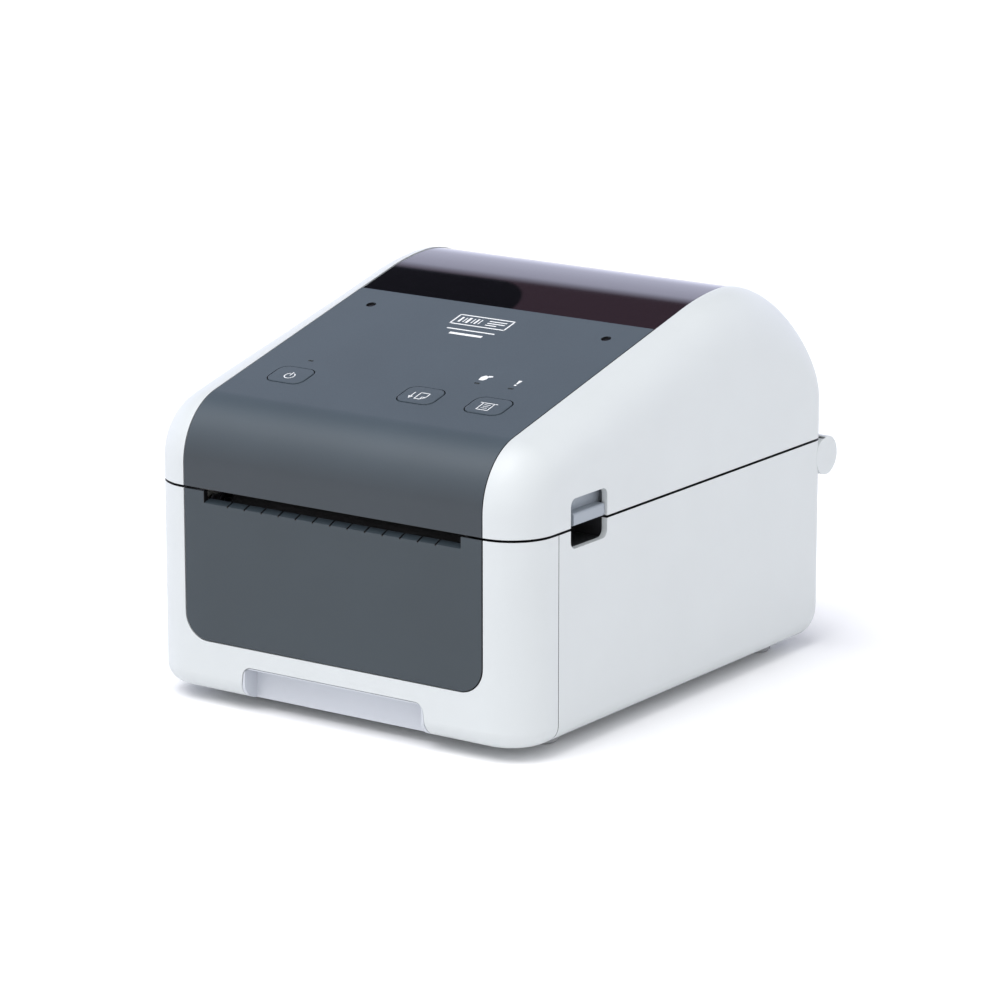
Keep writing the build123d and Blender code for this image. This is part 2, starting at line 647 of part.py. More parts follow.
PLATEN_HALF = 57.0
with BuildPart() as platen_shaft:
    with BuildSketch(Plane.YZ.offset(GEAR_X - GEAR_WIDTH - 1.5)):
        with Locations((PLATEN_Y, PLATEN_Z)):
            Circle(SHAFT_R)
    extrude(amount=PLATE_X + PLATE_THICK + 3.0 - (GEAR_X - GEAR_WIDTH - 1.5))
    with BuildSketch(Plane.YZ.offset(-PLATEN_HALF + 1)):
        with Locations((PLATEN_Y, PLATEN_Z)):
            Circle(SHAFT_R + 1.0)
    extrude(amount=2 * PLATEN_HALF - 2)
finish(platen_shaft, "platen_shaft")

with BuildPart() as platen_rubber:
    with BuildSketch(Plane.YZ.offset(-PLATEN_HALF + 1)):
        with Locations((PLATEN_Y, PLATEN_Z)):
            Circle(PLATEN_R)
            Circle(SHAFT_R + 1.01, mode=Mode.SUBTRACT)
    extrude(amount=2 * PLATEN_HALF - 2)
finish(platen_rubber, "platen_rubber")


def gear_blank(teeth, phase, y, z, bore, hub_r):
    """Spur gear of the paper drive on its own axis, with a hub on its outer side."""
    with BuildPart() as blank:
        with BuildSketch(Plane.YZ):
            make_face(tooth_outline(teeth, GEAR_MODULE, phase))
            Circle(bore, mode=Mode.SUBTRACT)
        extrude(amount=-GEAR_WIDTH)
        with BuildSketch(Plane.YZ.offset(-GEAR_WIDTH)):
            Circle(hub_r)
            Circle(bore, mode=Mode.SUBTRACT)
        extrude(amount=-1.0)
    with BuildPart() as gear:
        with Locations((GEAR_X, y, z)):
            add(blank.part)
    return gear


def bearing_angle(from_y, from_z, to_y, to_z):
    """Direction from one gear centre to another, in degrees from +Y towards +Z."""
    return degrees(atan2(to_z - from_z, to_y - from_y))


to_idler = bearing_angle(PLATEN_Y, PLATEN_Z, IDLER_Y, IDLER_Z)
to_motor = bearing_angle(IDLER_Y, IDLER_Z, MOTOR_Y, MOTOR_Z)
platen_phase = to_idler
idler_step = 360 / IDLER_TEETH
idler_phase = to_idler + 180 + idler_step / 2
# The motor pinion takes the phase of whatever tooth the idler turns towards it.
idler_offset = ((to_motor - idler_phase) / idler_step) % 1
motor_step = 360 / MOTOR_TEETH
motor_phase = to_motor + 180 + (0.5 + idler_offset) * motor_step

finish(gear_blank(PLATEN_TEETH, platen_phase, PLATEN_Y, PLATEN_Z, SHAFT_R + 0.01, 5.0), "platen_gear")
finish(gear_blank(IDLER_TEETH, idler_phase, IDLER_Y, IDLER_Z, IDLER_STUD_R + FIT, 4.0), "idler_gear")
finish(gear_blank(MOTOR_TEETH, motor_phase, MOTOR_Y, MOTOR_Z, MOTOR_SHAFT_R + FIT, 3.4), "motor_pinion")

with BuildPart() as feed_motor:
    with BuildSketch(Plane.YZ.offset(-PLATE_X + GAP)):
        with Locations((MOTOR_Y, MOTOR_Z)):
            Circle(MOTOR_R)
    extrude(amount=MOTOR_LENGTH)
    chamfer(edges().group_by(Axis.X)[-1], 1.0)
    with BuildSketch(Plane.YZ.offset(-PLATE_X + GAP)):
        with Locations((MOTOR_Y, MOTOR_Z)):
            SlotCenterToCenter(2 * MOTOR_SCREW_REACH, 8)
        with Locations(*motor_screw_spots):
            Circle(MOTOR_SCREW_R + 0.01, mode=Mode.SUBTRACT)
    extrude(amount=1.5)
    with BuildSketch(Plane.YZ.offset(-PLATE_X + GAP)):
        with Locations((MOTOR_Y, MOTOR_Z)):
            Circle(MOTOR_PILOT_R)
    extrude(amount=-1.5)
    with BuildSketch(Plane.YZ.offset(-PLATE_X)):
        with Locations((MOTOR_Y, MOTOR_Z)):
            Circle(MOTOR_SHAFT_R)
    extrude(amount=-(PLATE_X - 54) - GEAR_WIDTH)
finish(feed_motor, "feed_motor")

with BuildPart() as motor_screws:
    with BuildSketch(Plane.YZ.offset(-PLATE_X - PLATE_THICK)):
        with Locations(*motor_screw_spots):
            Circle(2.6)
    extrude(amount=-1.6)
    with BuildSketch(Plane.YZ.offset(-PLATE_X - PLATE_THICK)):
        with Locations(*motor_screw_spots):
            Circle(MOTOR_SCREW_R)
    extrude(amount=5.0)
finish(motor_screws, "motor_screws")

# ---------------------------------------------------------------- paper path and sensor
SENSOR_Y = -62.0
SENSOR_RAIL_Z = 71.0
SENSOR_RAIL_R = 2.0
GUIDE_PLATE_TOP = 82.0

with BuildPart() as paper_guide:
    with BuildSketch(Plane.YZ):
        with BuildLine():
            Polyline(
                (PLATEN_Y + PLATEN_R + 1.2, 80.0),
                (PLATEN_Y + PLATEN_R + 1.2, GUIDE_PLATE_TOP),
                (ROLL_Y - TRAY_OUTER - 0.5, GUIDE_PLATE_TOP),
                (ROLL_Y - TRAY_OUTER - 0.5, 76.0),
                (ROLL_Y - TRAY_OUTER - 2.5, 76.0),
                (ROLL_Y - TRAY_OUTER - 2.5, 80.0),
                close=True,
            )
        make_face()
    extrude(amount=PLATE_X - 1.5, both=True)
    with BuildSketch(Plane.XY.offset(70)):
        with Locations((0, SENSOR_Y)):
            Rectangle(112, 6)
    extrude(amount=20, mode=Mode.SUBTRACT)
    for side in (-1, 1):
        with BuildSketch(Plane.YZ.offset(side * (PLATE_X - 4.5))):
            with Locations((SENSOR_Y, 75)):
                Rectangle(14, 12)
            with Locations((SENSOR_Y, SENSOR_RAIL_Z)):
                Circle(SENSOR_RAIL_R + 0.01, mode=Mode.SUBTRACT)
        extrude(amount=side * 3.0)
finish(paper_guide, "paper_guide")

with BuildPart() as sensor_rail:
    with BuildSketch(Plane.YZ):
        with Locations((SENSOR_Y, SENSOR_RAIL_Z)):
            Circle(SENSOR_RAIL_R)
    extrude(amount=PLATE_X - 1.6, both=True)
finish(sensor_rail, "sensor_rail")

with BuildPart() as sensor_carriage:
    with BuildSketch(Plane.YZ):
        with Locations((SENSOR_Y, 73.0)):
            Rectangle(9, 11)
        with Locations((SENSOR_Y, SENSOR_RAIL_Z)):
            Circle(SENSOR_RAIL_R + FIT, mode=Mode.SUBTRACT)
        with Locations((SENSOR_Y, 79.6)):
            Rectangle(5, 4.2)
    extrude(amount=6, both=True)
finish(sensor_carriage, "media_sensor")

# ---------------------------------------------------------------- electronics and sockets
BOARD_Z = 10.6
BOARD_THICK = 1.6
BOARD_FRONT = 71.0
BOARD_REAR = 99.4
SOCKET_FACE_Y = 101.4      # socket mouths lie just inside the rear wall
BOARD_TOP = BOARD_Z + BOARD_THICK

with BuildPart() as main_board:
    with BuildSketch(Plane.XY.offset(BOARD_Z)):
        with Locations((0, (BOARD_FRONT + BOARD_REAR) / 2)):
            Rectangle(150, BOARD_REAR - BOARD_FRONT)
        with Locations(*[spot for spot in SCREW_SPOTS if spot[1] > 0]):
            Circle(2.2, mode=Mode.SUBTRACT)
    extrude(amount=BOARD_THICK)
finish(main_board, "main_board")

# Middle across, width, length and height of each chip.
CHIPS = [(-20, 12, 7, 1.4), (8, 7, 7, 1.0), (30, 9, 6, 1.2), (64, 8, 8, 6.0)]
with BuildPart() as board_chips:
    for chip_x, chip_w, chip_l, chip_h in CHIPS:
        with BuildSketch(Plane.XY.offset(BOARD_TOP + 0.01)):
            with Locations((chip_x, BOARD_FRONT + 5.5)):
                Rectangle(chip_w, chip_l)
        extrude(amount=chip_h)
finish(board_chips, "board_chips")

DC_X = -66.0
USB_B_X = -46.0
USB_A_X = -24.0
LAN_X = 1.0
SERIAL_X = 44.0
SERIAL_Z = 19.5
SERIAL_SPACING = 25.0
JACK_R = 2.6
JACK_HOLE_R = 1.4


def socket_shell(x, width, height, opening_width, opening_height, depth, length):
    """A box-shaped socket on the board, open to the rear."""
    with BuildPart() as shell:
        with BuildSketch(Plane.XZ.offset(-SOCKET_FACE_Y)):
            with Locations((x, BOARD_TOP + 0.02 + height / 2)):
                Rectangle(width, height)
        extrude(amount=length)
        with BuildSketch(Plane.XZ.offset(-SOCKET_FACE_Y)):
            with Locations((x, BOARD_TOP + 0.02 + height / 2)):
                Rectangle(opening_width, opening_height)
        extrude(amount=depth, mode=Mode.SUBTRACT)
    return shell


finish(socket_shell(LAN_X, 16.0, 13.5, 11.8, 8.0, 11.0, 16.0), "lan_port")
finish(socket_shell(USB_A_X, 14.0, 7.4, 12.4, 5.6, 10.0, 14.0), "usb_host_port")

with BuildPart() as dc_inlet:
    with BuildSketch(Plane.XZ.offset(-SOCKET_FACE_Y)):
        with Locations((DC_X, BOARD_TOP + 5.6)):
            Rectangle(10.0, 11.0)
    extrude(amount=14)
    with BuildSketch(Plane.XZ.offset(-SOCKET_FACE_Y)):
        with Locations((DC_X, BOARD_TOP + 5.6)):
            Circle(3.4)
            Circle(1.0, mode=Mode.SUBTRACT)
    extrude(amount=9.5, mode=Mode.SUBTRACT)
finish(dc_inlet, "dc_inlet")

with BuildPart() as usb_port:
    with BuildSketch(Plane.XZ.offset(-SOCKET_FACE_Y)):
        with Locations((USB_B_X, BOARD_TOP + 5.6)):
            Rectangle(12.0, 11.1)
    extrude(amount=16)
    with BuildSketch(Plane.XZ.offset(-SOCKET_FACE_Y)):
        with Locations((USB_B_X, BOARD_TOP + 5.6)):
            Rectangle(8.8, 8.0)
            chamfer(vertices().group_by(Axis.Y)[-1], 1.8)
            Rectangle(5.0, 3.0, mode=Mode.SUBTRACT)
    extrude(amount=9, mode=Mode.SUBTRACT)
finish(usb_port, "usb_device_port")

with BuildPart() as serial_port:
    with BuildSketch(Plane.XZ.offset(-SOCKET_FACE_Y)):
        with Locations((SERIAL_X, SERIAL_Z)):
            Rectangle(31.0, 12.4)
            with GridLocations(SERIAL_SPACING, 1, 2, 1):
                Circle(JACK_R + 0.01, mode=Mode.SUBTRACT)
    extrude(amount=10)
    with BuildSketch(Plane.XZ.offset(-SOCKET_FACE_Y)):
        with Locations((SERIAL_X, SERIAL_Z)):
            Trapezoid(18.0, 9.0, 100, rotation=180)
    extrude(amount=5.0, mode=Mode.SUBTRACT)
    with BuildSketch(Plane.XZ.offset(-SOCKET_FACE_Y + 6.0)):
        for row, count in ((1.42, 5), (-1.42, 4)):
            with Locations((SERIAL_X, SERIAL_Z + row)):
                with GridLocations(2.77, 1, count, 1):
                    Circle(0.5)
    extrude(amount=-5.0)
finish(serial_port, "serial_port")

with BuildPart() as serial_jackscrews:
    with BuildSketch(Plane.XZ.offset(-SOCKET_FACE_Y - 2.0)):
        with Locations((SERIAL_X, SERIAL_Z)):
            with GridLocations(SERIAL_SPACING, 1, 2, 1):
                Circle(JACK_R)
                Circle(JACK_HOLE_R, mode=Mode.SUBTRACT)
    extrude(amount=10)
finish(serial_jackscrews, "serial_jackscrews")

with BuildPart() as socket_plate:
    with BuildSketch(Plane.XZ.offset(-REAR_Y + 0.9)):
        with Locations((0, (IO_BOTTOM + IO_TOP) / 2)):
            RectangleRounded(2 * IO_HALF - 2 * GAP, IO_TOP - IO_BOTTOM - 2 * GAP, 1.8)
        with Locations((DC_X, BOARD_TOP + 5.6)):
            Rectangle(10.6, 11.8, mode=Mode.SUBTRACT)
        with Locations((USB_B_X, BOARD_TOP + 5.6)):
            Rectangle(12.6, 11.8, mode=Mode.SUBTRACT)
        with Locations((USB_A_X, BOARD_TOP + 3.7)):
            Rectangle(14.6, 8.0, mode=Mode.SUBTRACT)
        with Locations((LAN_X, BOARD_TOP + 6.8)):
            Rectangle(16.6, 14.2, mode=Mode.SUBTRACT)
        with Locations((SERIAL_X, SERIAL_Z)):
            Rectangle(31.6, 13.0, mode=Mode.SUBTRACT)
    extrude(amount=1.2)
finish(socket_plate, "socket_plate")

with BuildPart() as striker_pins:
    for side in (-1, 1):
        with BuildSketch(Plane.YZ.offset(side * (HALF_WIDTH - WALL - 0.1))):
            with Locations((STRIKER_Y, STRIKER_Z)):
                Circle(STRIKER_R)
        extrude(amount=-side * 13.0)
finish(striker_pins, "striker_pins")

POCKET_BACK_X = 73.0
POCKET_WALL = 1.5
with BuildPart() as finger_pockets:
    for side in (-1, 1):
        outer_x = side * (HALF_WIDTH - WALL - GAP)
        back_x = side * POCKET_BACK_X
        with BuildSketch(Plane.XY.offset(NOTCH_BOTTOM - 1.8)):
            with Locations(((outer_x + back_x) / 2, NOTCH_MID)):
                Rectangle(abs(outer_x - back_x), LATCH_REAR - LATCH_FRONT + 3.4)
        extrude(amount=LOWER_TOP - NOTCH_BOTTOM + 1.6)
        with BuildSketch(Plane.XY.offset(NOTCH_BOTTOM - 0.3)):
            with Locations(((outer_x + back_x) / 2 + side * POCKET_WALL, NOTCH_MID)):
                Rectangle(abs(outer_x - back_x), LATCH_REAR - LATCH_FRONT + 0.4)
        extrude(amount=10, mode=Mode.SUBTRACT)
finish(finger_pockets, "finger_pockets")

# ================================================================ cover
with BuildPart() as cover_outer:
    with BuildSketch(Plane.YZ):
        make_face(roof_outline(0, COVER_BOTTOM))
    extrude(amount=HALF_WIDTH, both=True)
    fillet(roof_side_edges(cover_outer.part, HALF_WIDTH), FRONT_CORNER)

INNER_HALF = HALF_WIDTH - WALL
with BuildPart() as cover_inner:
    with BuildSketch(Plane.YZ):
        make_face(roof_outline(WALL, COVER_BOTTOM - EPS))
    extrude(amount=INNER_HALF, both=True)
    fillet(roof_side_edges(cover_inner.part, INNER_HALF), FRONT_CORNER - WALL)

ARM_R = 6.6
with BuildPart() as cover_shell:
    add(cover_outer.part)
    add(cover_inner.part, mode=Mode.SUBTRACT)
    # Opening for the control panel and the window.
    with BuildSketch(Plane.XY.offset(COVER_BOTTOM - EPS)):
        with Locations((0, (FRONT_Y - EPS + WINDOW_END_Y + GAP) / 2)):
            Rectangle(2 * PANEL_OPENING, WINDOW_END_Y + GAP - FRONT_Y + EPS)
    extrude(amount=HEIGHT, mode=Mode.SUBTRACT)
    # Upper half of each latch notch.
    with BuildSketch(Plane.YZ):
        with Locations((NOTCH_MID, NOTCH_TOP - 10)):
            RectangleRounded(LATCH_REAR - LATCH_FRONT, 20, NOTCH_CORNER)
    extrude(amount=HALF_WIDTH + EPS, both=True, mode=Mode.SUBTRACT)
    # Arms that reach down into the hinge bump and turn on the hinge pins.
    for side in (-1, 1):
        with BuildSketch(Plane.YZ.offset(side * HINGE_ARM_X)):
            with BuildLine():
                Polyline(
                    (REAR_INNER + 0.4, COVER_BOTTOM + 12),
                    (REAR_INNER + 0.4, COVER_BOTTOM + 0.2),
                    (HINGE_Y + 2.5, COVER_BOTTOM - 3),
                    (HINGE_Y + 5, HINGE_Z),
                    (HINGE_Y - 6, HINGE_Z),
                    (REAR_INNER - 5, COVER_BOTTOM + 2),
                    (REAR_INNER - 5, COVER_BOTTOM + 9),
                    (REAR_INNER - 2, COVER_BOTTOM + 12),
                    close=True,
                )
            make_face()
            with Locations((HINGE_Y, HINGE_Z)):
                Circle(ARM_R)
                Circle(PIN_R + FIT, mode=Mode.SUBTRACT)
        extrude(amount=HINGE_ARM_WIDTH / 2, both=True)
finish(cover_shell, "cover_shell")

with BuildPart() as hinge_pins:
    for side in (-1, 1):
        with BuildSketch(Plane.YZ.offset(side * HINGE_ARM_X)):
            with Locations((HINGE_Y, HINGE_Z)):
                Circle(PIN_R)
        extrude(amount=PIN_LENGTH / 2 - 0.2, both=True)
finish(hinge_pins, "hinge_pins")


# ---------------------------------------------------------------- control panel and keys
def roof_band(outset, inset, half, floor):
    """A curved sheet under the roof, between two depths, across the given half width."""
    with BuildPart() as band:
        with BuildSketch(Plane.YZ):
            make_face(roof_outline(outset, floor))
        extrude(amount=half, both=True)
        with BuildSketch(Plane.YZ):
            make_face(roof_outline(inset, floor - EPS))
        extrude(amount=half + EPS, both=True, mode=Mode.SUBTRACT)
    return band.part


KEY_WIDTH = 17.0
KEY_LENGTH = 13.2
KEY_CORNER = 4.0
KEY_GAP = 0.4
KEY_S = 20.1
KEYS = {"power_key": -48.5, "feed_key": 14.2, "print_key": 45.9}
LED_SPOTS = [(-48.6, 33.6), (29.5, 36.1), (45.4, 35.9)]
LED_LENGTH = 2.6
LED_WIDTH = 1.1
CAP_SPOTS = [(-56.7, 85.9), (56.7, 85.9)]
CAP_R = 2.0
window_split = Plane(
    origin=slope_plane.origin + slope_plane.y_dir * (WINDOW_START - GAP),
    x_dir=(1, 0, 0),
    z_dir=slope_plane.y_dir,
)
window_edge = Plane(
    origin=slope_plane.origin + slope_plane.y_dir * (WINDOW_START + GAP),
    x_dir=(1, 0, 0),
    z_dir=slope_plane.y_dir,
)

with BuildPart() as control_panel:
    add(roof_band(0.0, WALL, PANEL_HALF, COVER_BOTTOM))
    split(bisect_by=window_split, keep=Keep.BOTTOM)
    with BuildSketch(slope_plane.offset(EPS)):
        for key_x in KEYS.values():
            with Locations((key_x, KEY_S)):
                RectangleRounded(KEY_WIDTH + 2 * KEY_GAP, KEY_LENGTH + 2 * KEY_GAP, KEY_CORNER + KEY_GAP)
        with Locations(*LED_SPOTS):
            SlotOverall(LED_LENGTH + 0.02, LED_WIDTH + 0.02)
        with Locations(*CAP_SPOTS):
            Circle(CAP_R + 0.02)
    extrude(amount=-WALL - 2 * EPS, mode=Mode.SUBTRACT)
finish(control_panel, "control_panel")

with BuildPart() as smoked_window:
    add(roof_band(0.3, WALL, PANEL_HALF, COVER_BOTTOM))
    split(bisect_by=window_edge, keep=Keep.TOP)
    split(bisect_by=Plane.XZ.offset(-WINDOW_END_Y), keep=Keep.TOP)
finish(smoked_window, "smoked_window")

KEY_FLANGE = 1.5
for key_name, key_x in KEYS.items():
    with BuildPart() as key:
        with BuildSketch(slope_plane.offset(0.2)):
            with Locations((key_x, KEY_S)):
                RectangleRounded(KEY_WIDTH, KEY_LENGTH, KEY_CORNER)
        extrude(amount=-(WALL + 0.8))
        with BuildSketch(slope_plane.offset(-WALL - 0.3)):
            with Locations((key_x, KEY_S)):
                RectangleRounded(KEY_WIDTH + 2 * KEY_FLANGE, KEY_LENGTH + 2 * KEY_FLANGE, KEY_CORNER)
        extrude(amount=-1.2)
        with BuildSketch(slope_plane.offset(-WALL - 1.5)):
            with Locations((key_x, KEY_S)):
                Circle(1.8)
        extrude(amount=-0.9)
    finish(key, key_name)

with BuildPart() as led_lenses:
    with BuildSketch(slope_plane):
        with Locations(*LED_SPOTS):
            SlotOverall(LED_LENGTH, LED_WIDTH)
    extrude(amount=-3.5)
finish(led_lenses, "led_lenses")

with BuildPart() as screw_caps:
    with BuildSketch(slope_plane.offset(-0.5)):
        with Locations(*CAP_SPOTS):
            Circle(CAP_R)
    extrude(amount=-2.0)
finish(screw_caps, "screw_caps")

PANEL_BOARD_TOP = -6.4
with BuildPart() as panel_board:
    with BuildSketch(slope_plane.offset(PANEL_BOARD_TOP)):
        with Locations((0, 26)):
            Rectangle(128, 30)
    extrude(amount=-1.2)
    # Tact switches under the keys and LEDs under the lenses.
    with BuildSketch(slope_plane.offset(PANEL_BOARD_TOP)):
        for key_x in KEYS.values():
            with Locations((key_x, KEY_S)):
                Rectangle(6, 6)
        with Locations(*LED_SPOTS):
            Rectangle(3, 1.6)
    extrude(amount=0.9)
finish(panel_board, "panel_board")

LINER_TOP = 9.0
LINER_THICK = 2.0
LINER_HALF = 80.0
LINER_FLOOR = 91.0
BRACKET_X = 66.0
ROD_R = 2.5
HEAD_PIVOT_Y = -64.0
HEAD_PIVOT_Z = 97.0
HEAD_PIN_R = 2.0

with BuildPart() as cover_liner:
    add(roof_band(LINER_TOP, LINER_TOP + LINER_THICK, LINER_HALF, LINER_FLOOR))
    split(bisect_by=window_split.offset(-4), keep=Keep.BOTTOM)
    # Bosses for the screws under the caps.
    with BuildSketch(slope_plane.offset(-WALL - 0.2)):
        with Locations(*CAP_SPOTS):
            Circle(4)
    extrude(amount=-(LINER_TOP - WALL))
    # Brackets of the latch rod and of the print head pivot.
    for side in (-1, 1):
        for bore_y, bore_z, bore_r, top_z in (
            (LATCH_Y, LATCH_Z, ROD_R, 127.0),
            (HEAD_PIVOT_Y, HEAD_PIVOT_Z, HEAD_PIN_R, 121.0),
        ):
            with BuildSketch(Plane.YZ.offset(side * BRACKET_X)):
                with Locations((bore_y, (bore_z + top_z) / 2)):
                    Rectangle(10, top_z - bore_z)
                with Locations((bore_y, bore_z)):
                    Circle(5)
                    Circle(bore_r + FIT, mode=Mode.SUBTRACT)
            extrude(amount=1.5, both=True)
finish(cover_liner, "cover_liner")

TEAR_HALF = 58.0
TEAR_TEETH = 58
TEAR_REAR_Y = -103.5
TEAR_ROOT_Y = -108.2
TEAR_TIP_Y = -109.2
tear_pitch = 2 * TEAR_HALF / TEAR_TEETH
tear_points = [(TEAR_HALF, TEAR_REAR_Y), (-TEAR_HALF, TEAR_REAR_Y), (-TEAR_HALF, TEAR_ROOT_Y)]
for tooth in range(TEAR_TEETH):
    tear_points.append((-TEAR_HALF + (tooth + 0.5) * tear_pitch, TEAR_TIP_Y))
    tear_points.append((-TEAR_HALF + (tooth + 1.0) * tear_pitch, TEAR_ROOT_Y))

with BuildPart() as tear_bar:
    with BuildSketch(Plane.XY.offset(COVER_BOTTOM + 0.8)):
        with BuildLine():
            Polyline(*tear_points, close=True)
        make_face()
    extrude(amount=0.6)
    with BuildSketch(Plane.XY.offset(COVER_BOTTOM + 1.0)):
        with Locations((0, TEAR_REAR_Y - 0.5)):
            Rectangle(2 * TEAR_HALF, 1.0)
    extrude(amount=6.4)
finish(tear_bar, "tear_bar")

# ---------------------------------------------------------------- print head
HEAD_HALF = 58.0
HEAD_FRONT = -99.5
with BuildPart() as head_bracket:
    with BuildSketch(Plane.YZ):
        with BuildLine():
            Polyline(
                (HEAD_FRONT, 95.2),
                (HEAD_FRONT, 96.4),
                (HEAD_PIVOT_Y - 1.0, 96.4),
                (HEAD_PIVOT_Y - 1.0, 95.2),
                close=True,
            )
        make_face()
    extrude(amount=HEAD_HALF, both=True)
    for side in (-1, 1):
        with BuildSketch(Plane.YZ.offset(side * (HEAD_HALF + 1.0))):
            with BuildLine():
                Polyline(
                    (-84.0, 95.2),
                    (-84.0, 99.0),
                    (HEAD_PIVOT_Y + 4, 101.0),
                    (HEAD_PIVOT_Y + 4, 93.5),
                    (HEAD_PIVOT_Y - 4, 93.5),
                    close=True,
                )
            make_face()
        extrude(amount=-side * 1.2)
    with BuildSketch(Plane.YZ):
        with Locations((HEAD_PIVOT_Y, HEAD_PIVOT_Z)):
            Circle(HEAD_PIN_R)
    extrude(amount=BRACKET_X + 2.5, both=True)
finish(head_bracket, "head_bracket")

with BuildPart() as heat_sink:
    with BuildSketch(Plane.YZ):
        with Locations((-90.0, 90.5)):
            Rectangle(20, 9.0)
        with Locations((-90.0, 93.6)):
            with GridLocations(4.0, 1, 4, 1):
                Rectangle(2.0, 5.0, mode=Mode.SUBTRACT)
    extrude(amount=HEAD_HALF - 1, both=True)
finish(heat_sink, "heat_sink")

with BuildPart() as thermal_head:
    with BuildSketch(Plane.YZ):
        with Locations((-92.0, HEAD_Z + 0.65)):
            Rectangle(15, 1.2)
    extrude(amount=HEAD_HALF - 2, both=True)
finish(thermal_head, "thermal_head")

SPRING_X = 40.0
SPRING_Y = -88.0
SPRING_R = 3.0
SPRING_BOTTOM = 96.6
SPRING_TOP = 111.0
SPRING_TURNS = 5
SPRING_WIRE_R = 0.45
spring_foot = SPRING_BOTTOM + 0.5
spring_rise = SPRING_TOP - SPRING_BOTTOM - 1.0
with BuildPart() as head_springs:
    for side in (-1, 1):
        spring_start = (side * SPRING_X, SPRING_Y, spring_foot)
        with BuildLine() as coil:
            Helix(spring_rise / SPRING_TURNS, spring_rise, SPRING_R, center=spring_start)
        with BuildSketch(coil.line ^ 0):
            Circle(SPRING_WIRE_R)
        sweep(path=coil.line)
finish(head_springs, "head_springs")

# ---------------------------------------------------------------- cover latch
TAB_FRONT = -78.4
TAB_BOTTOM = 87.3
TAB_TOP = 92.3
LEVER_X = 82.0
with BuildPart() as latch_rod:
    with BuildSketch(Plane.YZ):
        with Locations((LATCH_Y, LATCH_Z)):
            Circle(ROD_R)
    extrude(amount=HALF_WIDTH - WALL - 3.5, both=True)
finish(latch_rod, "latch_rod")


def latch_lever(side):
    """Finger tab, its backing plate, the arm to the rod and the hook below it."""
    with BuildPart() as lever:
        with BuildSketch(Plane.YZ.offset(side * LEVER_X)):
            with Locations(((TAB_FRONT + LATCH_REAR - 0.4) / 2, (TAB_BOTTOM + TAB_TOP) / 2)):
                Rectangle(LATCH_REAR - 0.4 - TAB_FRONT, TAB_TOP - TAB_BOTTOM)
        extrude(amount=side * (HALF_WIDTH - 0.8 - LEVER_X))
        fillet(edges().filter_by(Axis.Y).group_by(Axis.X)[-1 if side > 0 else 0], 1.0)
        with BuildSketch(Plane.YZ.offset(side * LEVER_X)):
            with BuildLine():
                Polyline(
                    (LATCH_FRONT - 1.0, TAB_BOTTOM),
                    (LATCH_FRONT - 1.0, 101.0),
                    (LATCH_REAR + 3.0, 101.0),
                    (LATCH_Y + 4.5, LATCH_Z + 4.0),
                    (LATCH_Y + 4.5, LATCH_Z - 4.5),
                    (LATCH_Y - 1.0, LATCH_Z - 5.5),
                    (LATCH_Y - 1.0, STRIKER_Z - 1.0),
                    (LATCH_Y + 3.0, STRIKER_Z - 1.8),
                    (LATCH_Y + 3.0, STRIKER_Z - 4.0),
                    (LATCH_Y - 1.0, STRIKER_Z - 5.5),
                    (LATCH_Y - 5.0, STRIKER_Z - 5.5),
                    (LATCH_Y - 5.0, TAB_BOTTOM),
                    close=True,
                )
            make_face()
            with Locations((LATCH_Y, LATCH_Z)):
                Circle(ROD_R + 0.01, mode=Mode.SUBTRACT)
        extrude(amount=-side * 4.0)
    return lever


finish(latch_lever(-1), "left_latch_lever")
finish(latch_lever(1), "right_latch_lever")

with BuildPart() as latch_springs:
    for side in (-1, 1):
        with BuildLine() as coil:
            Helix(1.3, 5.2, ROD_R + 0.9, center=(side * 70.0, LATCH_Y, LATCH_Z), direction=(side, 0, 0))
        with BuildSketch(coil.line ^ 0):
            Circle(0.4)
        sweep(path=coil.line)
finish(latch_springs, "latch_springs")
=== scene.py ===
import json
from math import asin, atan2, cos, degrees, hypot, pi, radians, sin

import bmesh
import bpy
from mathutils import Matrix, Vector


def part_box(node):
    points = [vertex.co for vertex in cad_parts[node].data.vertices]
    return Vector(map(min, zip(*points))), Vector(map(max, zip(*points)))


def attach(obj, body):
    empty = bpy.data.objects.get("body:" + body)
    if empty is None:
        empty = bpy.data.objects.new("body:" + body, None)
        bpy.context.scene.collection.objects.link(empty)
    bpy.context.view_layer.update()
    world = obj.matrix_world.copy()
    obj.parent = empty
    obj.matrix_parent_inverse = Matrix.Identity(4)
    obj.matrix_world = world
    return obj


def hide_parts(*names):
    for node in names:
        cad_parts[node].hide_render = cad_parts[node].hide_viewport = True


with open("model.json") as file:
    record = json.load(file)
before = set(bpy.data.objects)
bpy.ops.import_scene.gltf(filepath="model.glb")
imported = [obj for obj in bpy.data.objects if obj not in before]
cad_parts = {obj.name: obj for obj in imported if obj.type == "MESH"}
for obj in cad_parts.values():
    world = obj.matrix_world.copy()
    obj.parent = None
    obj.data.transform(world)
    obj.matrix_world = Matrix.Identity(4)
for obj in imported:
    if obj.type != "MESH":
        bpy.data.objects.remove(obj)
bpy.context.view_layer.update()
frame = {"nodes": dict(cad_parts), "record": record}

MM = 0.001

# ---------------------------------------------------------------- driving dimensions, metres
SHELL_LOW, SHELL_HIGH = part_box("cover_shell")
PANEL_LOW, PANEL_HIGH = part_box("control_panel")
WINDOW_LOW, WINDOW_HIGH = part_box("smoked_window")

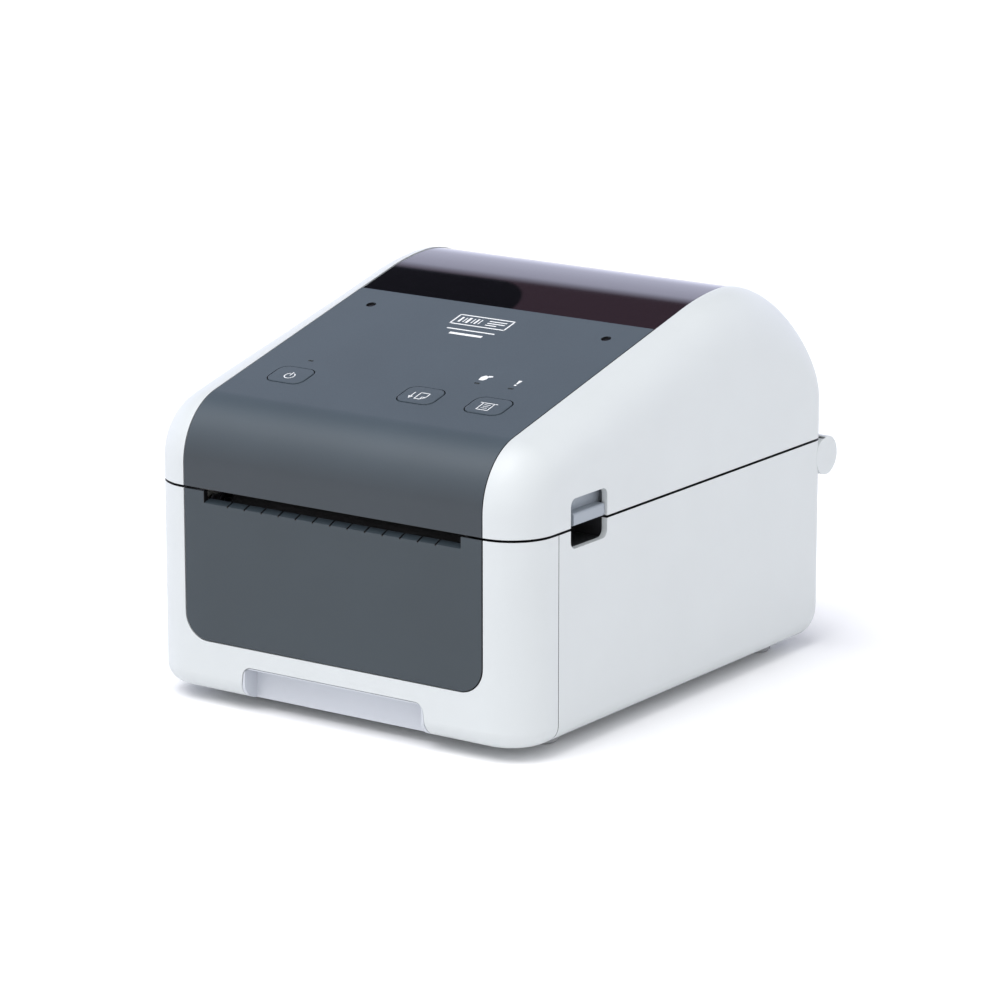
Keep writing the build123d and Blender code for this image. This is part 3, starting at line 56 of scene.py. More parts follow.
HALF_WIDTH = SHELL_HIGH.x
FRONT_Y = SHELL_LOW.y
REAR_Y = 102.5 * MM
TOP_Z = 155.0 * MM
COVER_BOTTOM = PANEL_LOW.z
SEAM_GAP = 0.9 * MM
JOINT_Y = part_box("front_bezel")[1].y + 0.1 * MM
WALL = 2.5 * MM
PANEL_GAP = 0.4 * MM
WINDOW_GAP = 0.2 * MM
FRONT_ARC = 26.9 * MM
FRONT_ARC_Z = 95.7 * MM
CREST_ARC = 124.0 * MM
REAR_ARC = 52.0 * MM
CREST_END = -3.0           # degrees from upright where the two roof arcs meet
FRONT_ROLL = 18.5 * MM     # rounding of the front corners and of the roof's side edges
CREST_ROLL = 19.2 * MM     # the same at the crest, measured across
CREST_DROP = 31.0 * MM     # and measured down the side, where it is much softer
REAR_ROLL = 7.5 * MM
ROLL_HOLD = 1.7            # the crest's roll is held longer, the higher this is
PANEL_HALF = PANEL_HIGH.x
HINGE_Y = 103.7 * MM
HINGE_Z = 79.0 * MM


# ---------------------------------------------------------------- small helpers
def smoothstep(t):
    """Eases from 0 to 1."""
    t = min(max(t, 0.0), 1.0)
    return t * t * (3 - 2 * t)


def mix(a, b, t):
    """Straight blend of two numbers."""
    return a + (b - a) * t


def new_mesh_object(name, verts, faces):
    """A mesh object in the row frame."""
    mesh = bpy.data.meshes.new(name)
    mesh.from_pydata([tuple(v) for v in verts], [], faces)
    turned = bmesh.new()
    turned.from_mesh(mesh)
    bmesh.ops.recalc_face_normals(turned, faces=turned.faces)
    turned.to_mesh(mesh)
    turned.free()
    obj = bpy.data.objects.new(name, mesh)
    bpy.context.scene.collection.objects.link(obj)
    return obj


def apply_modifiers(obj):
    """Bakes an object's modifiers into its mesh."""
    depsgraph = bpy.context.evaluated_depsgraph_get()
    mesh = bpy.data.meshes.new_from_object(obj.evaluated_get(depsgraph))
    obj.modifiers.clear()
    obj.data = mesh


def smooth_by_angle(obj, angle):
    """Smooth shading that keeps edges sharper than an angle crisp."""
    for polygon in obj.data.polygons:
        polygon.use_smooth = True
    obj.data.set_sharp_from_angle(angle=radians(angle))


def cut(obj, cutter, operation="DIFFERENCE"):
    """Exact boolean with a helper object, which is then removed."""
    modifier = obj.modifiers.new("cut", "BOOLEAN")
    modifier.object = cutter
    modifier.operation = operation
    modifier.solver = "EXACT"
    apply_modifiers(obj)
    bpy.data.objects.remove(cutter)


def bevel_edges(obj, width, angle):
    """Rounds the sharp edges a little, as moulded parts have them."""
    modifier = obj.modifiers.new("edge", "BEVEL")
    modifier.width = width
    modifier.segments = 2
    modifier.limit_method = "ANGLE"
    modifier.angle_limit = radians(angle)
    modifier.use_clamp_overlap = True
    modifier.miter_outer = "MITER_ARC"
    apply_modifiers(obj)


def paint(obj, material):
    """Gives an object one material."""
    obj.data.materials.clear()
    obj.data.materials.append(material)


def place(obj, material, body, slot, *replaced):
    """Paints a new piece, makes it ride on a body and hides the nodes it stands in for."""
    paint(obj, material)
    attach(obj, body)
    if replaced:
        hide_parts(*replaced)


def box_object(name, low, high):
    """A closed box, used as a cutter."""
    xs, ys, zs = zip(low, high)
    verts = [(x, y, z) for x in xs for y in ys for z in zs]
    faces = [(0, 1, 3, 2), (4, 6, 7, 5), (0, 4, 5, 1), (2, 3, 7, 6), (0, 2, 6, 4), (1, 5, 7, 3)]
    return new_mesh_object(name, verts, faces)


def prism_x(name, outline, x_low, x_high):
    """A closed prism along X from an outline of (y, z) points."""
    count = len(outline)
    verts = [(x, y, z) for x in (x_low, x_high) for y, z in outline]
    faces = [tuple(range(count)), tuple(range(2 * count - 1, count - 1, -1))]
    for i in range(count):
        j = (i + 1) % count
        faces.append((i, i + count, j + count, j))
    return new_mesh_object(name, verts, faces)


def rounded_rectangle(y_low, y_high, z_low, z_high, radius, steps=6):
    """Outline of (y, z) points with rounded corners, anticlockwise as seen from +X."""
    points = []
    corners = ((y_high, z_high, 0), (y_low, z_high, 90), (y_low, z_low, 180), (y_high, z_low, 270))
    for y, z, start in corners:
        centre_y = y - radius if y == y_high else y + radius
        centre_z = z - radius if z == z_high else z + radius
        for step in range(steps + 1):
            angle = radians(start + 90 * step / steps)
            points.append((centre_y + radius * cos(angle), centre_z + radius * sin(angle)))
    return points


# ---------------------------------------------------------------- materials
def node_material(name):
    """A material with its Principled shader, ready for nodes."""
    material = bpy.data.materials.new(name)
    material.use_nodes = True
    tree = material.node_tree
    return material, tree, tree.nodes["Principled BSDF"]


def object_noise(tree, scale, detail=3.0, roughness=0.5):
    """Noise in the object's own metres, so its grain has a real size."""
    coords = tree.nodes.new("ShaderNodeTexCoord")
    noise = tree.nodes.new("ShaderNodeTexNoise")
    noise.inputs["Scale"].default_value = scale
    noise.inputs["Detail"].default_value = detail
    noise.inputs["Roughness"].default_value = roughness
    tree.links.new(coords.outputs["Object"], noise.inputs["Vector"])
    return noise


def ramp_from(tree, source, low, high, low_value, high_value):
    """Maps a noise output to a range of numbers."""
    mapping = tree.nodes.new("ShaderNodeMapRange")
    mapping.inputs["From Min"].default_value = low
    mapping.inputs["From Max"].default_value = high
    mapping.inputs["To Min"].default_value = low_value
    mapping.inputs["To Max"].default_value = high_value
    tree.links.new(source, mapping.inputs["Value"])
    return mapping.outputs["Result"]


def tint_between(tree, factor, dark, light):
    """Blends two close colours by a noise factor."""
    blend = tree.nodes.new("ShaderNodeMix")
    blend.data_type = "RGBA"
    blend.inputs["A"].default_value = (*dark, 1)
    blend.inputs["B"].default_value = (*light, 1)
    tree.links.new(factor, blend.inputs["Factor"])
    return blend.outputs["Result"]


def add_bump(tree, shader, height, strength, distance):
    """Surface relief from a height output."""
    bump = tree.nodes.new("ShaderNodeBump")
    bump.inputs["Strength"].default_value = strength
    bump.inputs["Distance"].default_value = distance
    tree.links.new(height, bump.inputs["Height"])
    tree.links.new(bump.outputs["Normal"], shader.inputs["Normal"])


def shade(colour, factor):
    """A colour made lighter or darker."""
    return tuple(channel * factor for channel in colour)


def maths(tree, operation, first, *numbers):
    """One maths node on an output and some plain numbers."""
    node = tree.nodes.new("ShaderNodeMath")
    node.operation = operation
    tree.links.new(first, node.inputs[0])
    for socket, number in zip(node.inputs[1:], numbers):
        if isinstance(number, float):
            socket.default_value = number
        else:
            tree.links.new(number, socket)
    return node.outputs["Value"]


def axis_outputs(tree, vector):
    """The three components of a vector output."""
    split = tree.nodes.new("ShaderNodeSeparateXYZ")
    tree.links.new(vector, split.inputs["Vector"])
    return split.outputs


GAP_SHADE = (0.004, 0.004, 0.005)      # in a gap that no light reaches
JOINT_SHADE = (0.204, 0.204, 0.205)    # in a joint that is nearly closed
JOINT_HALF = 0.13 * MM
FACE_MARGIN = 0.06 * MM
REAR_MARGIN = 0.05 * MM
SIDE_FACING = 0.12         # how far a normal has to lean sideways to count as a panel's side
FADE_LOW = COVER_BOTTOM + 12 * MM      # the painted shade is deepest up to here
FADE_HIGH = COVER_BOTTOM + 30 * MM     # and plain from here
PLASTIC_IOR = 1.5


def darkened(tree, tint, mask, shade_colour=GAP_SHADE):
    """A tint that gives way to a dark shade where a mask is 1."""
    blend = tree.nodes.new("ShaderNodeMix")
    blend.data_type = "RGBA"
    blend.inputs["B"].default_value = (*shade_colour, 1)
    tree.links.new(tint, blend.inputs["A"])
    tree.links.new(mask, blend.inputs["Factor"])
    return blend.outputs["Result"]


def painted_seam_shade(tree, tint):
    """Painted shade: darkens the hidden faces of the seam under the cover and of the joint behind the
    front bezel.
    """
    coords = tree.nodes.new("ShaderNodeTexCoord")
    where = axis_outputs(tree, coords.outputs["Object"])
    joint = maths(tree, "COMPARE", where["Y"], JOINT_Y, JOINT_HALF)
    below = maths(tree, "LESS_THAN", where["Z"], COVER_BOTTOM)
    tint = darkened(tree, tint, maths(tree, "MULTIPLY", joint, below), JOINT_SHADE)
    seam_z = COVER_BOTTOM - SEAM_GAP / 2
    level = maths(tree, "COMPARE", where["Z"], seam_z, SEAM_GAP / 2 + FACE_MARGIN)
    ahead = maths(tree, "LESS_THAN", where["Y"], REAR_Y - REAR_MARGIN)
    return darkened(tree, tint, maths(tree, "MULTIPLY", level, ahead))


def painted_side_shade(tree, tint):
    """Painted shade: darkens the sides of a panel, which face the narrow gap around it."""
    geometry = tree.nodes.new("ShaderNodeNewGeometry")
    sideways = maths(tree, "ABSOLUTE", axis_outputs(tree, geometry.outputs["Normal"])["X"])
    return darkened(tree, tint, maths(tree, "GREATER_THAN", sideways, SIDE_FACING))


def painted_lower_shade(tree, tint, amount):
    """Painted shade: makes a tint a little deeper towards the foot of the cover."""
    coords = tree.nodes.new("ShaderNodeTexCoord")
    height = axis_outputs(tree, coords.outputs["Object"])["Z"]
    lower_shade = ramp_from(tree, height, FADE_LOW, FADE_HIGH, amount, 0)
    return darkened(tree, tint, lower_shade)


def moulded(name, colour, roughness, grain=2600, relief=0.02, spread=0.06, variation=0.03,
            seam=False, sides=False, lower_shade=0.0):
    """Injection moulded plastic: fine spark-eroded grain, uneven gloss and a hint of colour drift."""
    material, tree, shader = node_material(name)
    broad = object_noise(tree, 28, 2.0)
    fine = object_noise(tree, grain, 4.0, 0.6)
    factor = ramp_from(tree, broad.outputs["Fac"], 0.3, 0.7, 0, 1)
    tint = tint_between(tree, factor, shade(colour, 1 - variation), shade(colour, 1 + variation))
    # Painted shade, deeper towards the foot of the cover.
    if lower_shade:
        tint = painted_lower_shade(tree, tint, lower_shade)
    # Painted shade in the seam under the cover and in the joint behind the bezel.
    if seam:
        tint = painted_seam_shade(tree, tint)
    # Painted shade on the sides of a panel, in the gap around it.
    if sides:
        tint = painted_side_shade(tree, tint)
    tree.links.new(tint, shader.inputs["Base Color"])
    gloss = ramp_from(tree, fine.outputs["Fac"], 0.25, 0.75, roughness - spread, roughness + spread)
    tree.links.new(gloss, shader.inputs["Roughness"])
    shader.inputs["IOR"].default_value = PLASTIC_IOR
    add_bump(tree, shader, fine.outputs["Fac"], 0.35, relief * MM)
    return material


def brushed_metal(name, colour, roughness, stretch=(1, 1, 40)):
    """Metal sheet or bar with fine drawn lines."""
    material, tree, shader = node_material(name)
    coords = tree.nodes.new("ShaderNodeTexCoord")
    mapping = tree.nodes.new("ShaderNodeMapping")
    mapping.inputs["Scale"].default_value = stretch
    noise = tree.nodes.new("ShaderNodeTexNoise")
    noise.inputs["Scale"].default_value = 900
    noise.inputs["Detail"].default_value = 3
    tree.links.new(coords.outputs["Object"], mapping.inputs["Vector"])
    tree.links.new(mapping.outputs["Vector"], noise.inputs["Vector"])
    blotch = object_noise(tree, 60, 3.0)
    factor = ramp_from(tree, blotch.outputs["Fac"], 0.3, 0.7, 0, 1)
    tint = tint_between(tree, factor, shade(colour, 0.9), shade(colour, 1.05))
    tree.links.new(tint, shader.inputs["Base Color"])
    gloss = ramp_from(tree, noise.outputs["Fac"], 0.3, 0.7, roughness * 0.8, roughness * 1.25)
    tree.links.new(gloss, shader.inputs["Roughness"])
    shader.inputs["Metallic"].default_value = 1.0
    add_bump(tree, shader, noise.outputs["Fac"], 0.15, 0.01 * MM)
    return material


def rubber_material(name, dark, light):
    """Dull rubber with a dusty bloom and a coarse grain."""
    material, tree, shader = node_material(name)
    fine = object_noise(tree, 1800, 5.0, 0.65)
    bloom = object_noise(tree, 90, 3.0)
    factor = ramp_from(tree, bloom.outputs["Fac"], 0.35, 0.7, 0, 1)
    tint = tint_between(tree, factor, dark, light)
    tree.links.new(tint, shader.inputs["Base Color"])
    gloss = ramp_from(tree, fine.outputs["Fac"], 0.25, 0.75, 0.65, 0.88)
    tree.links.new(gloss, shader.inputs["Roughness"])
    add_bump(tree, shader, fine.outputs["Fac"], 0.5, 0.05 * MM)
    return material


def board_material():
    """Green solder mask with faint copper tracks under it."""
    material, tree, shader = node_material("pcb")
    coords = tree.nodes.new("ShaderNodeTexCoord")
    tracks = tree.nodes.new("ShaderNodeTexBrick")
    tracks.inputs["Scale"].default_value = 160
    tracks.inputs["Mortar Size"].default_value = 0.03
    tracks.inputs["Color1"].default_value = (0.012, 0.11, 0.045, 1)
    tracks.inputs["Color2"].default_value = (0.016, 0.14, 0.055, 1)
    tracks.inputs["Mortar"].default_value = (0.04, 0.24, 0.09, 1)
    tree.links.new(coords.outputs["Object"], tracks.inputs["Vector"])
    tree.links.new(tracks.outputs["Color"], shader.inputs["Base Color"])
    fine = object_noise(tree, 900)
    gloss = ramp_from(tree, fine.outputs["Fac"], 0.3, 0.7, 0.22, 0.36)
    tree.links.new(gloss, shader.inputs["Roughness"])
    add_bump(tree, shader, tracks.outputs["Fac"], 0.2, 0.02 * MM)
    return material


PAINTED_SHADE_ZONE_X = -18 * MM      # centre of the rounded corner of the zone of painted shade
PAINTED_SHADE_ZONE_WIDTH = 21 * MM
PAINTED_SHADE_ZONE_HEIGHT = 22 * MM


def smoked_plastic():
    """Glossy smoked plastic, opaque, with a see-through view painted into its colour: painted shade of the
    unlit roll space behind one side, the brown of an inner wall behind the other.
    """
    material, tree, shader = node_material("smoked_window")
    coords = tree.nodes.new("ShaderNodeTexCoord")
    shift = tree.nodes.new("ShaderNodeMapping")
    shift.vector_type = "TEXTURE"
    shift.inputs["Location"].default_value = (PAINTED_SHADE_ZONE_X, WINDOW_LOW.y, 0)
    shift.inputs["Scale"].default_value = (PAINTED_SHADE_ZONE_WIDTH, PAINTED_SHADE_ZONE_HEIGHT, 1)
    tree.links.new(coords.outputs["Object"], shift.inputs["Vector"])
    # Left of the rounded corner only the distance up the window counts.
    corner = tree.nodes.new("ShaderNodeVectorMath")
    corner.operation = "MAXIMUM"
    corner.inputs[1].default_value = (0, 0, 0)
    flatten = tree.nodes.new("ShaderNodeVectorMath")
    flatten.operation = "MULTIPLY"
    flatten.inputs[1].default_value = (1, 1, 0)
    length = tree.nodes.new("ShaderNodeVectorMath")
    length.operation = "LENGTH"
    tree.links.new(shift.outputs["Vector"], corner.inputs[0])
    tree.links.new(corner.outputs["Vector"], flatten.inputs[0])
    tree.links.new(flatten.outputs["Vector"], length.inputs[0])
    # Painted shade of the unlit roll space inside the zone, the inner wall's brown outside it.
    zone = ramp_from(tree, length.outputs["Value"], 0.96, 1.04, 0, 1)
    tint = tint_between(tree, zone, (0.0015, 0.0013, 0.0018), (0.024, 0.014, 0.019))
    tree.links.new(tint, shader.inputs["Base Color"])
    fine = object_noise(tree, 1500)
    gloss = ramp_from(tree, fine.outputs["Fac"], 0.3, 0.7, 0.05, 0.09)
    tree.links.new(gloss, shader.inputs["Roughness"])
    shader.inputs["IOR"].default_value = 1.7
    shader.inputs["Specular Tint"].default_value = (0.80, 0.83, 1.0, 1)
    haze = object_noise(tree, 30, 2.0)
    add_bump(tree, shader, haze.outputs["Fac"], 0.1, 0.02 * MM)
    return material


def printed_mark():
    """White pad-printed ink with a slightly broken edge gloss."""
    material, tree, shader = node_material("printed_mark")
    fine = object_noise(tree, 5000)
    factor = ramp_from(tree, fine.outputs["Fac"], 0.3, 0.7, 0, 1)
    tint = tint_between(tree, factor, (0.72, 0.74, 0.76), (0.86, 0.87, 0.88))
    tree.links.new(tint, shader.inputs["Base Color"])
    gloss = ramp_from(tree, fine.outputs["Fac"], 0.3, 0.7, 0.45, 0.6)
    tree.links.new(gloss, shader.inputs["Roughness"])
    return material


# The case white carries painted shade in the seam under the cover and in the joint behind the bezel.
WHITE = moulded("case_white", (0.574, 0.602, 0.612), 0.42, relief=0.012, variation=0.012, seam=True)
LIGHT_GREY = moulded("light_grey", (0.52, 0.545, 0.59), 0.45, relief=0.015)
# The panel grey carries painted shade in its seam, on its sides and towards the foot of the cover.
PANEL_GREY = moulded("panel_grey", (0.050, 0.069, 0.087), 0.42, relief=0.03, variation=0.04,
                     seam=True, sides=True, lower_shade=0.52)
KEY_GREY = moulded("key_grey", (0.050, 0.069, 0.087), 0.40, relief=0.02, variation=0.04)
# Painted shade: a darker copy of the panel grey for the front panel, with painted shade in its seam and on
# its sides as well.
FRONT_GREY_SHADED = moulded("front_grey_shaded", (0.027, 0.039, 0.049), 0.42, relief=0.03, variation=0.04,
                     seam=True, sides=True)
LATCH_GREY = moulded("latch_grey", (0.30, 0.335, 0.38), 0.42, relief=0.02)
INNER_GREY = moulded("inner_grey", (0.10, 0.11, 0.12), 0.55, relief=0.03)
BLACK = moulded("black_plastic", (0.016, 0.016, 0.018), 0.5, relief=0.03, variation=0.15)
GEAR_WHITE = moulded("gear_white", (0.72, 0.71, 0.66), 0.38)
LENS = moulded("led_lens", (0.03, 0.035, 0.035), 0.18, relief=0.004, spread=0.03)
CERAMIC = moulded("ceramic", (0.16, 0.13, 0.11), 0.15, relief=0.004, spread=0.03)
CAP_BLACK = moulded("cap_black", (0.003, 0.003, 0.004), 0.22, relief=0.004, spread=0.04)
MOTOR_BLACK = moulded("motor_steel", (0.03, 0.03, 0.032), 0.35, relief=0.02)
ZINC = brushed_metal("zinc", (0.62, 0.62, 0.64), 0.32)
SCREW = brushed_metal("screw", (0.5, 0.5, 0.52), 0.3, (1, 1, 1))
SPRING = brushed_metal("spring_steel", (0.55, 0.55, 0.57), 0.25, (1, 1, 1))
PORT = brushed_metal("port_steel", (0.72, 0.72, 0.74), 0.28, (40, 1, 1))
ALUMINIUM = brushed_metal("aluminium", (0.78, 0.79, 0.8), 0.38, (1, 30, 30))
BRASS = brushed_metal("brass", (0.72, 0.52, 0.24), 0.25, (1, 1, 1))
RUBBER = rubber_material("rubber", (0.30, 0.31, 0.32), (0.40, 0.41, 0.42))
PLATEN_RUBBER = rubber_material("platen_rubber_black", (0.006, 0.006, 0.007), (0.012, 0.012, 0.013))
BOARD = board_material()
SMOKE = smoked_plastic()
INK = printed_mark()

SLOT_MATERIALS = {
    "case_white": WHITE,
    "light_grey": LIGHT_GREY,
    "panel_grey": PANEL_GREY,
    "key_grey": KEY_GREY,
    "latch_grey": LATCH_GREY,
    "inner_grey": INNER_GREY,
    "black_plastic": BLACK,
    "gear_white": GEAR_WHITE,
    "led_lens": LENS,
    "ceramic": CERAMIC,
    "motor_steel": MOTOR_BLACK,
    "zinc": ZINC,
    "screw": SCREW,
    "spring_steel": SPRING,
    "port_steel": PORT,
    "aluminium": ALUMINIUM,
    "brass": BRASS,
    "rubber": RUBBER,
    "pcb": BOARD,
    "smoked_window": SMOKE,
}
NODE_SLOT = {entry["node"]: entry["material_slot"] for entry in frame["record"]["subparts"]}
NODE_BODY = {
    node: body
    for body, nodes in frame["record"]["behaviour"]["bodies"].items()
    for node in nodes
}
NODE_MATERIALS = {
    "front_panel": FRONT_GREY_SHADED,
    "platen_rubber": PLATEN_RUBBER,
    "screw_caps": CAP_BLACK,
}


def material_of(node):
    """The look of a node: its own one, or the one of its material slot."""
    return NODE_MATERIALS.get(node, SLOT_MATERIALS[NODE_SLOT[node]])


for node, obj in frame["nodes"].items():
    paint(obj, material_of(node))


# ---------------------------------------------------------------- side view of the roof
def leaning(angle):
    """Unit vector in the side view at an angle from upright, leaning to the rear."""
    return Vector((0, sin(radians(angle)), cos(radians(angle))))


FRONT_CENTRE = Vector((0, FRONT_Y + FRONT_ARC, FRONT_ARC_Z))
REAR_CENTRE = Vector((0, REAR_Y - REAR_ARC, TOP_Z - REAR_ARC))
CREST_CENTRE = REAR_CENTRE + leaning(CREST_END) * (REAR_ARC - CREST_ARC)
reach = CREST_CENTRE - FRONT_CENTRE
SLOPE = degrees(atan2(reach.z, reach.y) - asin((FRONT_ARC - CREST_ARC) / reach.length))
SLOPE_START = FRONT_CENTRE + leaning(-SLOPE) * FRONT_ARC
SLOPE_END = CREST_CENTRE + leaning(-SLOPE) * CREST_ARC
OUTWARD = leaning(-SLOPE)
UPHILL = leaning(90 - SLOPE)


def on_slope(x, s, height=0.0):
    """Point on the control slope: across, distance up it, and height above it."""
    return Vector((x, 0, 0)) + SLOPE_START + UPHILL * s + OUTWARD * height


def roof_stations(inset, floor):
    """Side view of the roof as (point, outward direction, roll across, roll down) from front to rear."""
    front_roll = (FRONT_ROLL - inset, FRONT_ROLL - inset)
    crest_roll = (CREST_ROLL - inset, CREST_DROP - inset)
    rear_roll = (REAR_ROLL - inset, REAR_ROLL - inset)

    def blend(first, last, t):
        return tuple(mix(a, b, smoothstep(t)) for a, b in zip(first, last))

    stations = []

    def wall(y, z_first, z_last, facing, roll, steps):
        for i in range(steps):
            z = mix(z_first, z_last, i / steps)
            stations.append((Vector((0, y, z)), leaning(facing), *roll))

    def arc(centre, radius, first, last, roll_first, roll_last, steps):
        for i in range(steps):
            direction = leaning(mix(first, last, i / steps))
            roll = blend(roll_first, roll_last, (i / steps) ** ROLL_HOLD)
            stations.append((centre + direction * radius, direction, *roll))

    wall(FRONT_Y + inset, floor, FRONT_ARC_Z, -90, front_roll, 3)
    arc(FRONT_CENTRE, FRONT_ARC - inset, -90, -SLOPE, front_roll, front_roll, 26)
    slope_steps = 36
    for i in range(slope_steps):
        t = i / slope_steps
        point = SLOPE_START.lerp(SLOPE_END, t) - OUTWARD * inset
        stations.append((point, OUTWARD, *blend(front_roll, crest_roll, t)))
    arc(CREST_CENTRE, CREST_ARC - inset, -SLOPE, CREST_END, crest_roll, crest_roll, 16)
    arc(REAR_CENTRE, REAR_ARC - inset, CREST_END, 90, crest_roll, rear_roll, 44)
    wall(REAR_Y - inset, REAR_CENTRE.z, floor, 90, rear_roll, 6)
    stations.append((Vector((0, REAR_Y - inset, floor)), leaning(90), *rear_roll))
    return stations


def roof_form(name, inset, floor, roll_steps=14):
    """Closed form under the roof, with the soft roll along its side edges."""
    half = HALF_WIDTH - inset
    verts = []
    stations = roof_stations(inset, floor)
    for point, outward, across, down in stations:
        right = []
        for i in range(roll_steps + 1):
            angle = pi / 2 * i / roll_steps
            x = half - across + across * sin(angle)
            right.append((x, point - outward * down * (1 - cos(angle))))
        row = [Vector((-x, 0, 0)) + p for x, p in reversed(right)]
        row += [Vector((x, 0, 0)) + p for x, p in right]
        verts.extend(row)
    width = 2 * (roll_steps + 1)
    faces = []
    for i in range(len(stations) - 1):
        for j in range(width - 1):
            a = i * width + j
            faces.append((a, a + 1, a + width + 1, a + width))
    last = (len(stations) - 1) * width
    faces.append(tuple(i * width for i in range(len(stations))))
    faces.append(tuple(i * width + width - 1 for i in reversed(range(len(stations)))))
    faces.append(tuple(reversed(range(width))) + tuple(last + j for j in range(width)))
    return new_mesh_object(name, verts, faces)


def weighted_normals(obj):
    """Lets big flat faces keep flat shading next to rounded edges."""
    modifier = obj.modifiers.new("normals", "WEIGHTED_NORMAL")
    modifier.keep_sharp = True
    modifier.weight = 60
    apply_modifiers(obj)


# ---------------------------------------------------------------- cover shell with its soft side rolls
NOTCH_FRONT = -81.5 * MM
NOTCH_REAR = -57.0 * MM
NOTCH_TOP = 98.5 * MM
NOTCH_CORNER = 3.0 * MM
NOTCH_HEIGHT = 25 * MM     # of its cutter, which runs down past the cover
OVERCUT = 5 * MM


def make_cover_shell():
    """The white cover: a thin shell with openings for the panel and the latch tabs."""
    shell = roof_form("cover_skin", 0.0, COVER_BOTTOM)
    cut(shell, roof_form("inside", WALL, COVER_BOTTOM - 2 * MM))
    opening = PANEL_HALF + PANEL_GAP
    cut(shell, box_object("panel_opening", (-opening, FRONT_Y - OVERCUT, COVER_BOTTOM - OVERCUT),
                          (opening, WINDOW_HIGH.y + WINDOW_GAP, TOP_Z + OVERCUT)))
    notch = rounded_rectangle(NOTCH_FRONT, NOTCH_REAR, NOTCH_TOP - NOTCH_HEIGHT, NOTCH_TOP, NOTCH_CORNER)
    cut(shell, prism_x("notch", notch, -HALF_WIDTH - MM, HALF_WIDTH + MM))
    bevel_edges(shell, 0.3 * MM, angle=50)
    smooth_by_angle(shell, angle=32)
    weighted_normals(shell)
    place(shell, WHITE, "cover", "case_white", "cover_shell")


make_cover_shell()


# ---------------------------------------------------------------- hinge arms of the cover
HINGE_ARM_X = 62.0 * MM
HINGE_ARM_HALF = 5.0 * MM
ARM_R = 6.6 * MM
PIN_BORE = 2.55 * MM
ARM_OUTLINE = [             # (y, z) in millimetres
    (100.4, 99.3), (100.4, 87.6), (106.2, 84.3), (108.7, 79),
    (97.7, 79), (95, 89.3), (95, 96.3), (98, 99.3),
]


def circle_outline(y, z, radius, steps=48):
    """Outline of (y, z) points of a circle."""
    turns = [2 * pi * i / steps for i in range(steps)]
    return [(y + radius * cos(turn), z + radius * sin(turn)) for turn in turns]


def make_hinge_arms():
    """Arms that reach from the cover down to the hinge pins."""
    for side, label in ((-1, "left"), (1, "right")):
        low = side * HINGE_ARM_X - HINGE_ARM_HALF
        high = side * HINGE_ARM_X + HINGE_ARM_HALF
        arm = prism_x(f"{label}_hinge_arm", [(y * MM, z * MM) for y, z in ARM_OUTLINE], low, high)
        knuckle = prism_x("knuckle", circle_outline(HINGE_Y, HINGE_Z, ARM_R), low, high)
        cut(arm, knuckle, "UNION")
        cut(arm, prism_x("bore", circle_outline(HINGE_Y, HINGE_Z, PIN_BORE), low - MM, high + MM))
        bevel_edges(arm, 0.3 * MM, angle=50)
        smooth_by_angle(arm, angle=30)
        place(arm, WHITE, "cover", "case_white")


make_hinge_arms()


# ---------------------------------------------------------------- CAD pieces with softened edges
def softened(node, width):
    """A copy of a CAD node whose sharp edges are rounded as moulding leaves them."""
    copy = frame["nodes"][node].copy()
    copy.data = frame["nodes"][node].data.copy()
    copy.name = f"{node}_soft"
    copy.parent = None
    for key in list(copy.keys()):
        del copy[key]
    bpy.context.scene.collection.objects.link(copy)
    work = bmesh.new()
    work.from_mesh(copy.data)
    bmesh.ops.remove_doubles(work, verts=work.verts, dist=0.004 * MM)
    bmesh.ops.dissolve_limit(work, angle_limit=radians(0.6), verts=work.verts, edges=work.edges)
    work.to_mesh(copy.data)
    work.free()
    if copy.data.has_custom_normals:
        copy.data.attributes.remove(copy.data.attributes["custom_normal"])
    bevel_edges(copy, width, angle=40)
    smooth_by_angle(copy, angle=32)
    weighted_normals(copy)
    place(copy, material_of(node), NODE_BODY[node], NODE_SLOT[node], node)


SOFT_EDGES = {
    "front_bezel": 0.25 * MM,
    "lower_case": 0.25 * MM,
    "finger_scoop": 0.4 * MM,
    "control_panel": 0.25 * MM,
    "front_panel": 0.2 * MM,
    "smoked_window": 0.2 * MM,
    "power_key": 0.35 * MM,
    "feed_key": 0.35 * MM,
    "print_key": 0.35 * MM,
    "left_latch_lever": 0.3 * MM,
    "right_latch_lever": 0.3 * MM,
}
for node, width in SOFT_EDGES.items():
    softened(node, width)


# ---------------------------------------------------------------- backing plates of the latch tabs
PLATE_INNER = 81.9 * MM
PLATE_OUTER = 85.4 * MM
PLATE_LOW = 91.6 * MM
PLATE_HIGH = 100.4 * MM
PLATE_OVERLAP = 0.6 * MM
PLATE_REACH = 3.8 * MM     # how far it runs on behind the rear edge of the notch
PLATE_CORNER = 1.2 * MM
PLATE_GROOVE = 0.5 * MM    # depth and width of the groove down its face
GROOVE_BEHIND = 1.6 * MM   # from the rear edge of the notch to the groove


